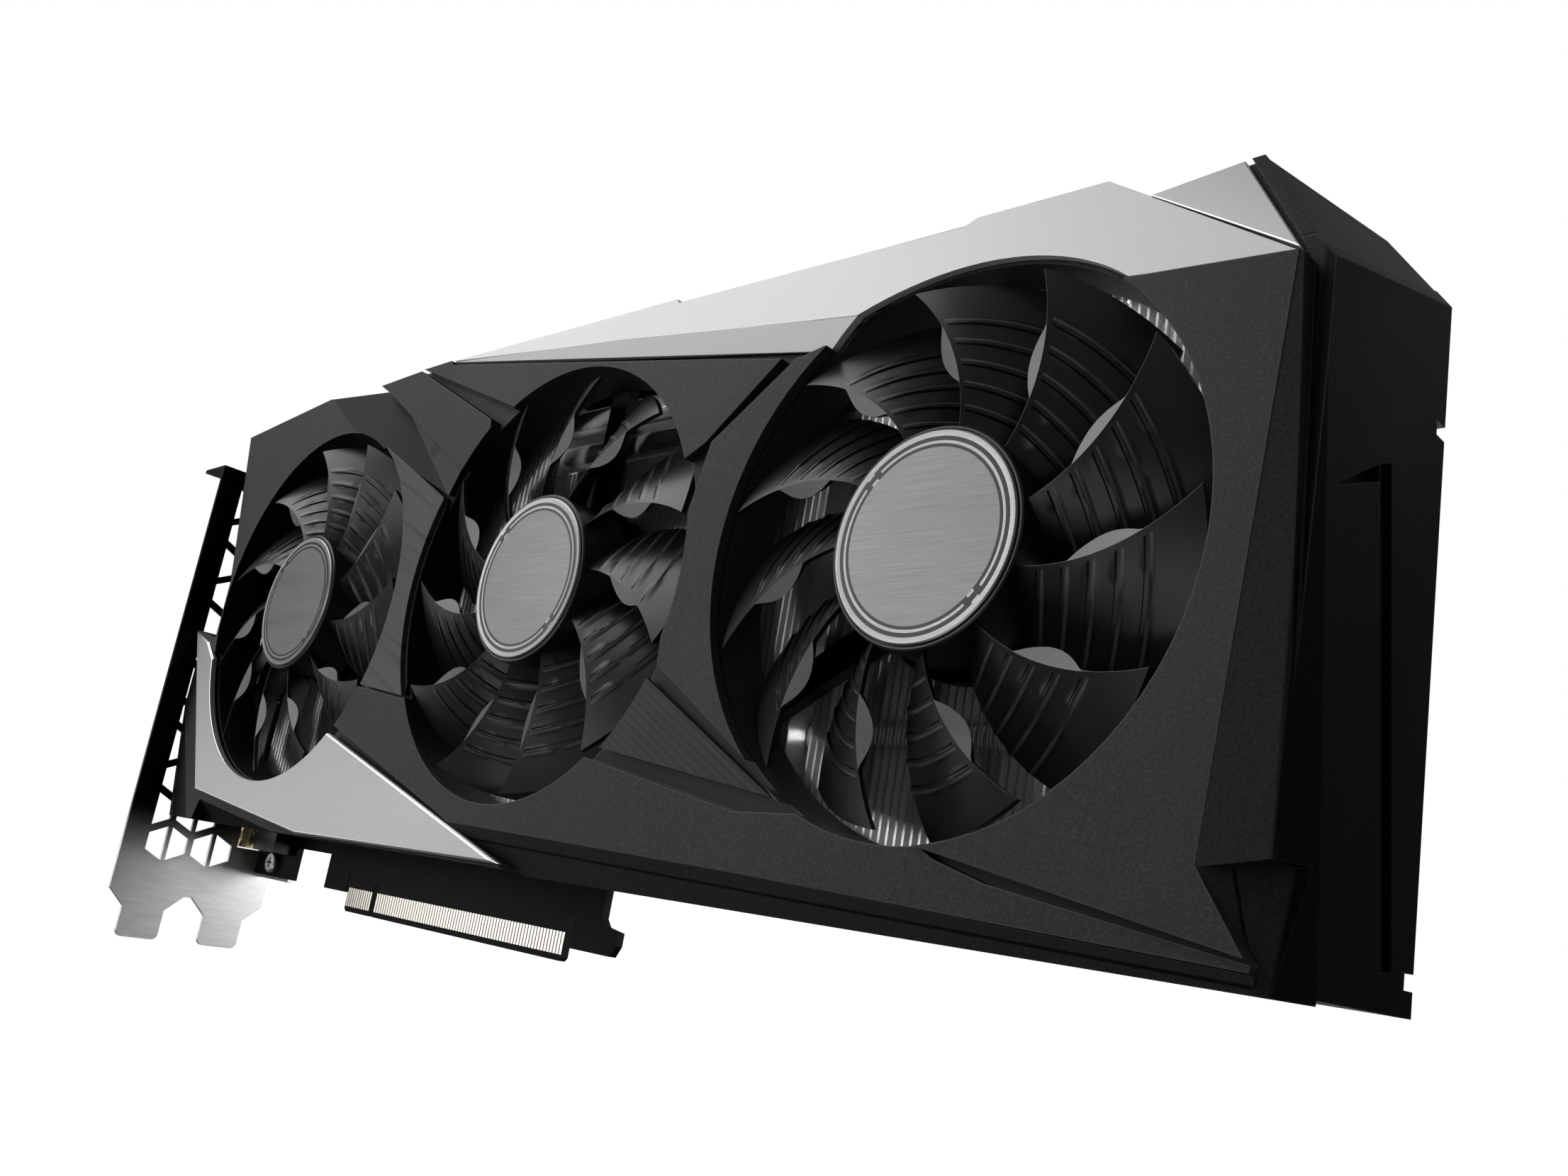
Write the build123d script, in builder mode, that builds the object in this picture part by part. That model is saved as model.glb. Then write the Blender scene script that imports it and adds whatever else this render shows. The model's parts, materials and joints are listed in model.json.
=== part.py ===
"""Triple-fan dual-slot graphics card, 285 x 117 x 41 mm.

Row frame: the origin is the key notch of the card edge, at the bottom of its contacts and on the
circuit board's middle plane. +X runs along the card away from its bracket, +Y points out of the
backplate, so the fans face -Y, and +Z points up out of the slot.

Shroud outlines are drawn in the fan frame: x and z from the middle fan's centre, and depth
behind the plane of the three ring openings. spot() turns such a place into row coordinates.
"""

import os
from math import cos, radians, sin

from build123d import *

# ---------------------------------------------------------------- driving dimensions (mm)
FAN_PITCH = 89.6            # spacing of the three fan axes
MID_X = 81.6                # middle fan axis
FAN_Z = 65.8                # height of the fan axes above the card edge
RING_Y = -31.4              # plane of the ring openings
RING_R = 40.8               # ring opening
COLLAR_WALL = 1.9           # duct behind each ring
COLLAR_DEPTH = 11.0
FAN_OFFSETS = {"left": -FAN_PITCH, "middle": 0.0, "right": FAN_PITCH}

LEFT_END = -143.0           # shroud ends, fan frame
TAIL_END = 141.0
TOP = 51.5
BOTTOM = -51.0
WALL = 2.0
RECESS = 1.8                # depth of the grooves between the raised panels
SOLID_FRONT = 11.0          # facets are carved out of this depth before the shell is hollowed
BOARD_SIDE = 29.4           # where the shroud walls stop over the circuit board
BACK_INNER = 36.6           # inner face of the backplate
BACK_OUTER = 37.8           # outer face of the backplate
TAIL_FROM = 62.0            # the deeper tail of the shroud starts here, past the board

BOARD_THICK = 1.57
BOARD_FRONT = -BOARD_THICK / 2
BOARD_BACK = BOARD_THICK / 2
BOARD_RIGHT = 139.6
BOARD_TOP = 106.6

BRACKET_IN = -62.6          # face of the bracket towards the card
BRACKET_THICK = 0.9
BRACKET_FRONT = -35.2
BRACKET_BACK = 3.5
BRACKET_TOP = 104.6
TAB_BOTTOM = -15.4
SHOULDER_TOP = -4.3
SHOULDER_LOW = -8.2
TAB_PITCH = 20.32
TAB_WIDTH = 10.19

HUB_R = 15.75
BLADE_R = 39.0
BLADES = 11
BLADE_THICK = 1.3
BLADE_FRONT = 0.3           # depths of the blades, in the fan frame
BLADE_BACK = 10.4
BLADE_SWEEP = 23.0          # degrees the tip leads the root
BADGE_R = 15.05
BADGE_FRONT = -1.15
BADGE_THICK = 0.6
SHAFT_R = 1.5
SHAFT_FIT = 0.05

FIN_PITCH = 1.45
FIN_THICK = 0.4
FIN_FRONT = 14.4
PIPE_H = 5.2
PIPE_T = 3.8
PIPE_SLACK = 0.15

GPU_X = 43.6
GPU_Z = 57.8
DIE_TOP = 28.3              # depth of the die's face
PLATE_FRONT = 25.3          # depth of the cold plate's front face

os.makedirs("parts", exist_ok=True)


# ---------------------------------------------------------------- helpers
def spot(x, depth, z):
    """A fan-frame place in row coordinates."""
    return Vector(MID_X + x, RING_Y + depth, FAN_Z + z)


def layer(depth, x=0.0, z=0.0):
    """Sketch plane at a depth behind the rings, facing the front, centred on x and z."""
    return Plane(origin=spot(x, depth, z), x_dir=(1, 0, 0), z_dir=(0, -1, 0))


def upright(x):
    """Sketch plane across the card at row X = x: its x is row Y and its y is row Z."""
    return Plane(origin=(x, 0, 0), x_dir=(0, 1, 0), z_dir=(1, 0, 0))


def wall_plane(y):
    """Sketch plane at row Y = y, facing the front, with row X and Z as its own x and y."""
    return Plane(origin=(0, y, 0), x_dir=(1, 0, 0), z_dir=(0, -1, 0))


def outline(points, plane):
    """Closed polygon face on a plane."""
    with BuildSketch(plane) as drawn:
        with BuildLine():
            Polyline(*points, close=True)
        make_face()
    return drawn.sketch


def block(points, front, back):
    """Prism over a fan-frame outline between two depths."""
    with BuildPart() as solid:
        extrude(outline(points, layer(back)), amount=back - front)
    return solid.part


def facet_plane(a, b, c):
    """Plane through three fan-frame places, its normal towards the front."""
    normal = (spot(*b) - spot(*a)).cross(spot(*c) - spot(*a))
    if normal.Y > 0:
        normal = normal * -1
    return Plane(origin=spot(*a), z_dir=normal)


def faceted(points, front, back, facet, keep):
    """Prism over an outline, cut by a facet: Keep.BOTTOM is behind it, Keep.TOP before it."""
    with BuildPart() as solid:
        extrude(outline(points, layer(back)), amount=back - front)
        split(bisect_by=facet_plane(*facet), keep=keep)
    return solid.part


def deeper(facet, amount):
    """The same facet, moved back along the depth axis."""
    return tuple((x, depth + amount, z) for x, depth, z in facet)


def cuboid(low, high):
    """Plain block between two row-frame corners."""
    size = [b - a for a, b in zip(low, high)]
    middle = [(a + b) / 2 for a, b in zip(low, high)]
    with BuildPart(Plane(origin=middle)) as solid:
        Box(*size)
    return solid.part


def disc(x, z, radius, front, back):
    """Cylinder along the depth axis, in fan-frame terms."""
    with BuildPart() as solid:
        with BuildSketch(layer(back, x, z)):
            Circle(radius)
        extrude(amount=back - front)
    return solid.part


def tube(x, z, outer, inner, front, back):
    """Tube along the depth axis."""
    with BuildPart() as solid:
        with BuildSketch(layer(back, x, z)):
            Circle(outer)
            Circle(inner, mode=Mode.SUBTRACT)
        extrude(amount=back - front)
    return solid.part


def screw(x, z, seat, length, facing, head_r=2.6, shank_r=1.4, head_h=1.2):
    """Cross-head screw along the depth axis: its head stands on seat, to the back if facing is 1."""
    head_top = seat + facing * head_h
    tip = seat - facing * length
    slot = head_top - facing * 0.7
    with BuildPart() as solid:
        add(disc(x, z, head_r, min(seat, head_top), max(seat, head_top)))
        chamfer(solid.faces().sort_by(Axis.Y)[-1 if facing > 0 else 0].edges(), 0.3)
        add(disc(x, z, shank_r, min(tip, seat), max(tip, seat)))
        for width, height in ((2.6, 0.6), (0.6, 2.6)):
            with BuildSketch(layer(max(slot, head_top), x, z)):
                Rectangle(width, height)
            extrude(amount=0.7, mode=Mode.SUBTRACT)
    return solid.part


def group(solids, name):
    """Write several separate solids as one node."""
    bundle = Compound(label=name, children=list(solids))
    export_step(bundle, f"parts/{name}.step")


def save(part, name):
    """Write one finished piece."""
    part.label = name
    export_step(part, f"parts/{name}.step")


# ---------------------------------------------------------------- shroud outlines
SHELL = [(LEFT_END, 47.6), (-100, TOP), (TAIL_END, TOP), (TAIL_END, BOTTOM), (LEFT_END, BOTTOM)]
SLOPE_TOP = ((-46, 0.0, 51), (60, 0.0, 38), (106.8, 6.2, 51.5))
SLOPE_LIP = ((-46, 0.1, 51), (60, 0.1, 38), (60, 1.7, 33.5))
SLOPE_TAIL = ((111.1, 11.6, 51.5), (124.6, 10.2, 51.5), (138, 0.0, 30))
TRIM_THICK = 1.3
TOP_TRIM = [
    (-46, 51.3), (22.5, 51.5), (23.5, 50.5), (84, 50.2), (86, 51.4), (107, 51.5), (138, 30),
    (115.5, 32.4), (100, 30), (80, 30), (72, 36.5), (60, 38), (12, 44.5),
]
LIP_TRIM = [(-46, 51), (12, 44.5), (60, 38), (72, 36.5), (66, 32.5), (60, 33.5)]
TAIL_TRIM = [(110.2, 51.4), (124.4, 51.4), (137.4, 30.8)]
LOW_TRIM = [
    (-142.6, -5), (-134, -8), (-119, -20), (-89.6, -33), (-65, -28.5), (8.5, -50.4),
    (-65, -50.7), (-119, -44.3),
]
LOW_TRIM_FRONT = -0.4
LEFT_INSERT = [(-67, 35), (-63, 33), (-37, 19.5), (-34, -21.8), (-36, -21.5), (-54.5, -19), (-67, -17)]
RIGHT_INSERT = [(30, -16), (37, -18.5), (68, -35.7), (27.5, -29.8), (24, -29)]
RIGHT_INSERT_FACET = ((36, 0.2, -18.5), (27.5, 0.2, -29.8), (68, 0.9, -35.7))

# Raised and sunk panels of the front, each an outline and the plane that its face lies on.
PANELS = [
    # left surround, with its end falling back towards the bracket
    ([(-142.6, 47.6), (-100, TOP), (-83, 41), (-63, 33), (-37, 19.5), (-36, -20.5), (-54.5, -18.4),
      (-62, -26), (-89.6, -34), (-134, -8), (-142.6, -5)], ((-142, 0, 47), (-37, 0, 19), (-60, 0, -25))),
    ([(LEFT_END, 47.9), (-142.4, 47.7), (-130.9, 8), (-130.9, -7), (LEFT_END, -4.6)],
     ((-142, 0.2, 48), (-130.6, 0.0, 6), (LEFT_END, 5, 8))),
    # dark channel between the left surround and the next blade-like panel
    ([(-100, TOP), (-78, TOP), (-72, 48.4), (-36, 20), (-83, 41)],
     ((-100, 0.2, 51.5), (-36, 0.3, 20), (-72, 4.2, 48.4))),
    ([(-36, 20), (-72, 48.4), (-33.5, 25.5)], ((-36, 0.3, 20), (-72, 4.2, 48.4), (-33.5, 0.5, 25.5))),
    # blade-like panel and the surround of the middle ring
    ([(-78, TOP), (-59.5, TOP), (-25, 34.5), (-20, 20), (-33.5, 25.5), (-72, 48.4)],
     ((-78, 0.9, 51.5), (-60, 0.3, 51.5), (-30, -0.3, 29))),
    ([(-58, TOP), (-47, TOP), (-46, 50.4), (55.5, 32.6), (41, 20.5), (20, 10), (-10, 20), (-19, 36.5)],
     ((-58, 0, 51.5), (55.5, 0, 32.6), (-19, 0, 36.5))),
    # lower front, from the left trim to the tail, and its chamfer
    ([(-54, -19.6), (-35.6, -22.1), (-20, -20), (15, -20), (22, -31), (62, -38.2), (80, -37.6),
      (95, -40.2), (98, -41.8), (106, -44), (139, -48.8), (139, -49.6), (60, -46.5), (-10, -44.5),
      (-61.5, -27.4)],
     ((-54, 0, -20), (22, 0, -31), (139, 0, -49))),
    ([(-12, -45), (-10, -44.5), (60, -46.5), (TAIL_END, -49.8), (TAIL_END, -51.6), (8.6, -51.6)],
     ((-10, 0, -44.5), (60, 0, -46.5), (8.5, 5, -51))),
    # surround of the right ring
    ([(58.5, 31.4), (66, 37), (75, 41), (110, 32), (138, 29.6), (132.5, -39.5), (95, -40.5),
      (70, -36.2), (64, -31.5), (39.4, -16.6), (38, 0), (42.4, 20.3)],
     ((41, 0, 20), (41, 0, -16), (138, -1.2, 30))),
    ([(95, -40.5), (105, -29.8), (132.5, -39.5), (139, -48.4)],
     ((95, -0.4, -40.5), (105, -0.5, -29.8), (132.5, -1.1, -39.5))),
    # tail facets
    ([(138, 29.6), (132.5, -39.5), (133, -40), (140.8, -38), (140.8, -34), (138.5, 29.4)],
     ((138, -1.1, 29.6), (132.5, -1.1, -39.5), (140.8, 1.3, -38))),
    ([(132.4, -39.5), (133, -39.7), (TAIL_END, -37.7), (TAIL_END, -51.6), (138.5, -51.6), (138.8, -48.6)],
     ((132.8, -1.1, -40), (TAIL_END, 8, -39), (139, 3, -49))),
]
# Planes that only take material away: outline and plane.
CUTS = [
    (TOP_TRIM + [(-46, 51.0)], deeper(SLOPE_TOP, TRIM_THICK)),
    ([(-47, 52), (107.3, 52), (138.3, 30.2), (115.5, 32), (60, 36), (12, 44)], deeper(SLOPE_TOP, TRIM_THICK)),
    (LIP_TRIM, deeper(SLOPE_LIP, TRIM_THICK)),
    ([(-46, 50.9), (60, 33.4), (66, 33), (60, 31.8), (57, 32.2)],
     ((-46, 2.6, 51), (60, 2.6, 33), (60, 2.6, 31))),
    ([(105.5, 52), (125, 52), (138.6, 29.8)], deeper(SLOPE_TAIL, TRIM_THICK)),
    ([(124.3, 52), (127.2, 52), (141.4, 29), (138, 29.8)],
     ((124.6, 10.2, 51.5), (126.8, 10.2, 51.5), (TAIL_END, 0, 29))),
    ([(126.5, 52.5), (TAIL_END + 1, 52.5), (TAIL_END + 1, 27), (TAIL_END - 0.4, 28.6)],
     ((126.8, 10.2, 51.5), (TAIL_END, 0, 29), (TAIL_END, 39.3, 40.6))),
    ([(LEFT_END - 1, -3.6), (-142.6, -5), (-119, -44.3), (-122, -52), (LEFT_END - 1, -52)],
     ((-143.5, -0.4, -5), (-119, 0, -44.3), (LEFT_END, 4, -41.7))),
    ([(-122, -52), (-119, -44.3), (-65, -50.7), (8.6, -50.6), (8.6, -52)],
     ((-119, 0, -44.3), (-65, 0, -50.7), (-119, 6, -51))),
    ([(TAIL_END - 2.6, 29.2), (TAIL_END + 1, 29.2), (TAIL_END + 1, -52), (139.4, -52), (139.4, -38)],
     ((TAIL_END, 0, 29), (139.4, -0.6, -38), (TAIL_END, 11, -49))),
]

# ---------------------------------------------------------------- fan frame places
FRAME_FRONT = 11.2          # depths of the three-armed fan frames
FRAME_BACK = 13.6
FRAME_ANGLES = (90, 210, 330)
FRAME_REACH = 45.8
boss_places = [
    (offset + FRAME_REACH * cos(radians(angle)), FRAME_REACH * sin(radians(angle)))
    for offset in FAN_OFFSETS.values()
    for angle in FRAME_ANGLES
]


# ---------------------------------------------------------------- backplate screw places
SCREW_HOLE = 1.45
plate_places = [            # x, z and the depth at which the shroud's post ends
    (-118, 46.6, BACK_INNER), (-30, 46.6, BACK_INNER), (14, 46.6, BACK_INNER), (128, 33.0, BACK_INNER),
    (-96, -46.6, 30.5), (-20, -46.6, 30.5), (50, -46.6, 30.5), (128, -46.8, BACK_INNER),
]

# ---------------------------------------------------------------- shroud
raised = [faceted(points, -6, SOLID_FRONT, facet, Keep.BOTTOM) for points, facet in PANELS]
sunk = [faceted(points, -6, SOLID_FRONT, facet, Keep.TOP) for points, facet in PANELS]
taken = [faceted(points, -6, 45, facet, Keep.TOP) for points, facet in CUTS]
low_trim_bed = block(LOW_TRIM, -6, LOW_TRIM_FRONT + TRIM_THICK)
left_insert_bed = block(LEFT_INSERT, -6, 0.9)
right_insert_bed = faceted(RIGHT_INSERT, -6, 20, deeper(RIGHT_INSERT_FACET, 1.0), Keep.TOP)
front_hollow = block([(-127, -41), (130, -41), (130, 26), (100, 30), (60, 31), (10, 39), (-45, 42),
                      (-127, 40)], 3.6, SOLID_FRONT)
HOLLOW_LEFT = [(TAIL_END - WALL, BOTTOM + WALL), (LEFT_END - 2, BOTTOM + WALL), (LEFT_END - 2, 45.2),
               (-100, TOP - WALL)]
deep_hollow = block(HOLLOW_LEFT + [(104, TOP - WALL), (TAIL_END - WALL, 30)], SOLID_FRONT, 14.2)
board_hollow = block(HOLLOW_LEFT + [(118, TOP - WALL), (126, 46.5), (TAIL_END - WALL, 31.5)], 14.1, 50)
tail_block = block([(TAIL_FROM, TOP), (TAIL_END, TOP), (TAIL_END, BOTTOM), (TAIL_FROM, BOTTOM)],
                   SOLID_FRONT, BACK_INNER)
end_block = block([(TAIL_END - WALL, TOP), (TAIL_END, TOP), (TAIL_END, BOTTOM), (TAIL_END - WALL, BOTTOM)],
                  BACK_INNER - 1, BACK_OUTER)
port_gap = block([(LEFT_END - 2, BOTTOM + 3), (-116, BOTTOM + 3), (-116, -60), (LEFT_END - 2, -60)], 14, 45)
power_gap = block([(22.5, 49), (60, 49), (60, 60), (22.5, 60)], 19.5, 45)
end_groove = block([(138.6, 29.2), (TAIL_END, 29.0), (140.6, -35)], -6, 1.6)
END_X = MID_X + TAIL_END
END_RELIEF = [               # shallow shapes in the end face: outline in row Y and Z, and depth
    ([(-13.6, 76.4), (-10.2, 77.7), (-0.4, 19.5), (-3.8, 19.2)], 1.2),
    ([(-25.6, 69.5), (-13.8, 76.3), (-13.4, 74.3)], 1.2),
    ([(8, 86.9), (8, 88.9), (3, 88.9), (3, 86.9)], 1.0),
    ([(8, 17.9), (8, 19.9), (3, 19.9), (3, 17.9)], 1.0),
]

with BuildPart() as shroud:
    extrude(outline(SHELL, layer(BOARD_SIDE)), amount=BOARD_SIDE - RECESS)
    add(tail_block)
    add(end_block)
    for cut, fill in zip(sunk, raised):
        add(cut, mode=Mode.SUBTRACT)
        add(fill)
    add(low_trim_bed, mode=Mode.SUBTRACT)
    add(left_insert_bed, mode=Mode.SUBTRACT)
    add(right_insert_bed, mode=Mode.SUBTRACT)
    add(end_groove, mode=Mode.SUBTRACT)
    add(front_hollow, mode=Mode.SUBTRACT)
    add(deep_hollow, mode=Mode.SUBTRACT)
    add(board_hollow, mode=Mode.SUBTRACT)
    add(port_gap, mode=Mode.SUBTRACT)
    add(power_gap, mode=Mode.SUBTRACT)
    for offset in FAN_OFFSETS.values():
        add(tube(offset, 0, RING_R + COLLAR_WALL, RING_R, 3.0, COLLAR_DEPTH))
    for x, z in boss_places:
        add(disc(x, z, 2.7, 8.0 if z > 0 else 3.0, FRAME_FRONT))
    for x, z, end in plate_places:
        add(disc(x, z, 2.6, 11.0, end))
        add(disc(x, z, SCREW_HOLE, 20.0, end), mode=Mode.SUBTRACT)
    for cut in taken:
        add(cut, mode=Mode.SUBTRACT)
    for offset in FAN_OFFSETS.values():
        add(disc(offset, 0, RING_R, -6, SOLID_FRONT), mode=Mode.SUBTRACT)
    for x, z in boss_places:
        add(disc(x, z, 1.2, 9.0 if z > 0 else 6.0, FRAME_FRONT), mode=Mode.SUBTRACT)
    for points, depth in END_RELIEF:
        extrude(outline(points, upright(END_X - depth)), amount=depth + 1, mode=Mode.SUBTRACT)
    for x in range(-112, 20, 16):
        add(block([(x, 49), (x + 12, 49), (x + 12, 53), (x, 53)], 17, 24), mode=Mode.SUBTRACT)
        add(block([(x, -53), (x + 12, -53), (x + 12, -48), (x, -48)], 17, 24), mode=Mode.SUBTRACT)
    for x in range(66, 118, 16):
        add(block([(x, -53), (x + 12, -53), (x + 12, -48), (x, -48)], 17, 30), mode=Mode.SUBTRACT)
save(shroud.part, "shroud")

# ---------------------------------------------------------------- silver trims and brushed inserts
top_main = faceted(TOP_TRIM, -6, 30, SLOPE_TOP, Keep.BOTTOM)
top_under = faceted(TOP_TRIM, -7, 31, deeper(SLOPE_TOP, TRIM_THICK), Keep.BOTTOM)
lip_main = faceted(LIP_TRIM, -6, 30, SLOPE_LIP, Keep.BOTTOM)
lip_under = faceted(LIP_TRIM, -7, 31, deeper(SLOPE_LIP, TRIM_THICK), Keep.BOTTOM)
with BuildPart() as trim_lip:
    add(lip_main)
    add(lip_under, mode=Mode.SUBTRACT)
with BuildPart() as trim_top:
    add(top_main)
    add(top_under, mode=Mode.SUBTRACT)
    add(trim_lip.part)
    add(disc(FAN_PITCH, 0, RING_R + 0.7, -8, 40), mode=Mode.SUBTRACT)
save(trim_top.part, "trim_top")

with BuildPart() as trim_tail:
    add(faceted(TAIL_TRIM, -6, 30, SLOPE_TAIL, Keep.BOTTOM))
    add(faceted(TAIL_TRIM, -7, 31, deeper(SLOPE_TAIL, TRIM_THICK), Keep.BOTTOM), mode=Mode.SUBTRACT)
    add(faceted(TOP_TRIM, -8, 40, deeper(SLOPE_TOP, TRIM_THICK + 0.1), Keep.TOP), mode=Mode.SUBTRACT)
save(trim_tail.part, "trim_tail")

with BuildPart() as trim_low:
    extrude(outline(LOW_TRIM, layer(LOW_TRIM_FRONT + TRIM_THICK)), amount=TRIM_THICK)
    chamfer(trim_low.faces().sort_by(Axis.Y)[0].edges(), 0.35)
    add(disc(-FAN_PITCH, 0, RING_R + 0.1, -8, 40), mode=Mode.SUBTRACT)
save(trim_low.part, "trim_low")

with BuildPart() as insert_left:
    extrude(outline(LEFT_INSERT, layer(0.9)), amount=1.0)
    for offset in (-FAN_PITCH, 0):
        add(disc(offset, 0, RING_R + 0.7, -8, 40), mode=Mode.SUBTRACT)
save(insert_left.part, "insert_left")

with BuildPart() as insert_right:
    add(faceted(RIGHT_INSERT, -6, 20, RIGHT_INSERT_FACET, Keep.BOTTOM))
    add(faceted(RIGHT_INSERT, -7, 21, deeper(RIGHT_INSERT_FACET, 1.0), Keep.BOTTOM), mode=Mode.SUBTRACT)
    for offset in (0, FAN_PITCH):
        add(disc(offset, 0, RING_R + 0.7, -8, 40), mode=Mode.SUBTRACT)
save(insert_right.part, "insert_right")

# ---------------------------------------------------------------- fans
BASE_TIP_ANGLE = 5.0
BLADE_SPAN = 29.0           # degrees of the circle that one blade covers
HUB_WALL = 1.2


def blade_section(radius, lead_angle):
    """Slanted section of a blade on the plane across its radius, leading edge in front."""
    middle = radians(lead_angle - BLADE_SPAN / 2)
    half = radius * sin(radians(BLADE_SPAN / 2))
    radial = Vector(cos(middle), 0, sin(middle))
    tangent = Vector(-sin(middle), 0, cos(middle))
    plane = Plane(origin=radial * radius, x_dir=tangent, z_dir=radial)
    lead = -BLADE_FRONT
    trail = -BLADE_BACK
    return outline([(half, lead), (-half, trail + BLADE_THICK), (-half, trail), (half, lead - BLADE_THICK)],
                   plane)


with BuildPart() as blade:
    root = blade_section(HUB_R - 0.7, BASE_TIP_ANGLE - BLADE_SWEEP)
    loft([root, blade_section(BLADE_R + 1, BASE_TIP_ANGLE)])

with BuildPart() as impeller:
    with BuildSketch(Plane.XZ.offset(-10.2)):
        Circle(HUB_R)
    extrude(amount=10.2 + 0.8)
    for k in range(BLADES):
        add(blade.part.rotate(Axis.Y, k * 360 / BLADES))
    with BuildSketch(Plane.XZ.offset(-20)):
        Circle(BLADE_R)
    extrude(amount=30, mode=Mode.INTERSECT)
    with BuildSketch(Plane.XZ.offset(-12)):
        Circle(HUB_R - HUB_WALL)
    extrude(amount=10.8, mode=Mode.SUBTRACT)
    with BuildSketch(Plane.XZ.offset(0.55)):
        Circle(BADGE_R + 0.1)
    extrude(amount=2, mode=Mode.SUBTRACT)
    with BuildSketch(Plane.XZ.offset(-12)):
        Circle(SHAFT_R)
    extrude(amount=12.4, mode=Mode.SUBTRACT)

COIL_TURN = 40.0            # spacing of the nine stator arms, degrees
windings = []
for name, offset in FAN_OFFSETS.items():
    with BuildPart() as rotor:
        with Locations(spot(offset, 0, 0)):
            if name == "middle":
                add(impeller.part.mirror(Plane.YZ).rotate(Axis.Y, 2.1))
            else:
                add(impeller.part)
    save(rotor.part, f"rotor_{name}")
    with BuildPart() as badge:
        add(disc(offset, 0, BADGE_R, BADGE_FRONT, BADGE_FRONT + BADGE_THICK))
        chamfer(badge.edges().group_by(Axis.Y)[0], 0.25)
    save(badge.part, f"badge_{name}")
    save(tube(offset, 0, HUB_R - HUB_WALL - 0.05, 13.0, 2.0, 9.6), f"magnet_ring_{name}")
    save(disc(offset, 0, SHAFT_R, 0.4, 10.9), f"shaft_{name}")
    save(tube(offset, 0, 3.2, SHAFT_R + SHAFT_FIT, 2.4, 11.0), f"bearing_{name}")
    with BuildPart() as stator:
        with BuildSketch(layer(8.6, offset, 0)):
            Circle(6.4)
            with PolarLocations(8.6, 9):
                Rectangle(6.0, 1.8)
            with PolarLocations(11.6, 9):
                Rectangle(1.2, 5.6)
            Circle(12.3, mode=Mode.INTERSECT)
            Circle(4.3, mode=Mode.SUBTRACT)
        extrude(amount=5.0)
    save(stator.part, f"stator_{name}")
    with BuildPart() as coil:
        with BuildSketch(layer(9.3, offset, 0)):
            with Locations((8.9, 0)):
                Rectangle(3.4, 3.4)
        extrude(amount=6.4)
        with BuildSketch(layer(8.65, offset, 0)):
            with Locations((8.9, 0)):
                Rectangle(6, 1.9)
        extrude(amount=5.1, mode=Mode.SUBTRACT)
    fan_axis = Axis(tuple(spot(offset, 0, 0)), (0, 1, 0))
    windings.extend(coil.part.rotate(fan_axis, k * COIL_TURN) for k in range(9))
    with BuildPart() as frame_part:
        add(disc(offset, 0, 17.0, FRAME_FRONT, FRAME_BACK))
        with BuildSketch(layer(FRAME_BACK, offset, 0)):
            for angle in FRAME_ANGLES:
                with PolarLocations(FRAME_REACH / 2, 1, start_angle=angle):
                    Rectangle(FRAME_REACH, 5.0)
                with PolarLocations(FRAME_REACH, 1, start_angle=angle):
                    Circle(3.6)
        extrude(amount=FRAME_BACK - FRAME_FRONT)
        add(tube(offset, 0, 4.25, 3.25, 2.6, FRAME_FRONT + 0.5))
        add(disc(offset, 0, 3.25, 2.0, FRAME_FRONT + 0.2), mode=Mode.SUBTRACT)
        for x, z in boss_places:
            if abs(x - offset) < RING_R:
                add(disc(x, z, 1.5, FRAME_FRONT - 1, FRAME_BACK + 1), mode=Mode.SUBTRACT)
                add(disc(x, z, 2.9, FRAME_BACK - 1.3, FRAME_BACK + 1), mode=Mode.SUBTRACT)
    save(frame_part.part, f"fan_frame_{name}")
group(windings, "windings")


# ---------------------------------------------------------------- cooler
PIPE_DEEP = 23.3            # depth of the pipes' centres over the board
PIPE_NEAR = 16.9            # and where they run in front of the fins
PIPE_BEND = 9.0
FIN_BACK = 25.2
FIN_HALF = 43.6
TAIL_FIN_BACK = 35.0
GPU = (GPU_X - MID_X, GPU_Z - FAN_Z)
PIPES = {
    "1": [(-62, PIPE_DEEP, -17), (16, PIPE_DEEP, -17), (34, PIPE_DEEP, -23.5), (50, PIPE_DEEP, -23.5),
          (64, PIPE_NEAR, -23.5), (123, PIPE_NEAR, -23.5)],
    "2": [(-62, PIPE_DEEP, -9.5), (123, PIPE_DEEP, -9.5)],
    "3": [(-14, PIPE_DEEP, -2), (-88, PIPE_DEEP, -2), (-88, PIPE_DEEP, 39.2), (-40, PIPE_DEEP, 39.2),
          (-22, PIPE_NEAR, 39.2), (123, PIPE_NEAR, 39.2)],
    "4": [(-14, PIPE_DEEP, 5.5), (-76, PIPE_DEEP, 5.5), (-76, PIPE_DEEP, 31.6), (-40, PIPE_DEEP, 31.6),
          (-22, PIPE_NEAR, 31.6), (123, PIPE_NEAR, 31.6)],
}


def heatpipe(places, height, thick):
    """Flattened pipe swept along a filleted route that starts along X."""
    corners = [spot(*place) for place in places]
    with BuildPart() as pipe:
        with BuildLine() as route:
            if len(corners) > 2:
                FilletPolyline(*corners, radius=PIPE_BEND)
            else:
                Line(*corners)
        with BuildSketch(Plane(origin=corners[0], x_dir=(0, 1, 0), z_dir=corners[1] - corners[0])):
            SlotOverall(height, thick, rotation=90)
        sweep(path=route.wire())
    return pipe.part


grown_pipes = []
for number, places in PIPES.items():
    save(heatpipe(places, PIPE_H, PIPE_T), f"heatpipe_{number}")
    grown_pipes.append(heatpipe(places, PIPE_H + 2 * PIPE_SLACK, PIPE_T + 2 * PIPE_SLACK))


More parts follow.
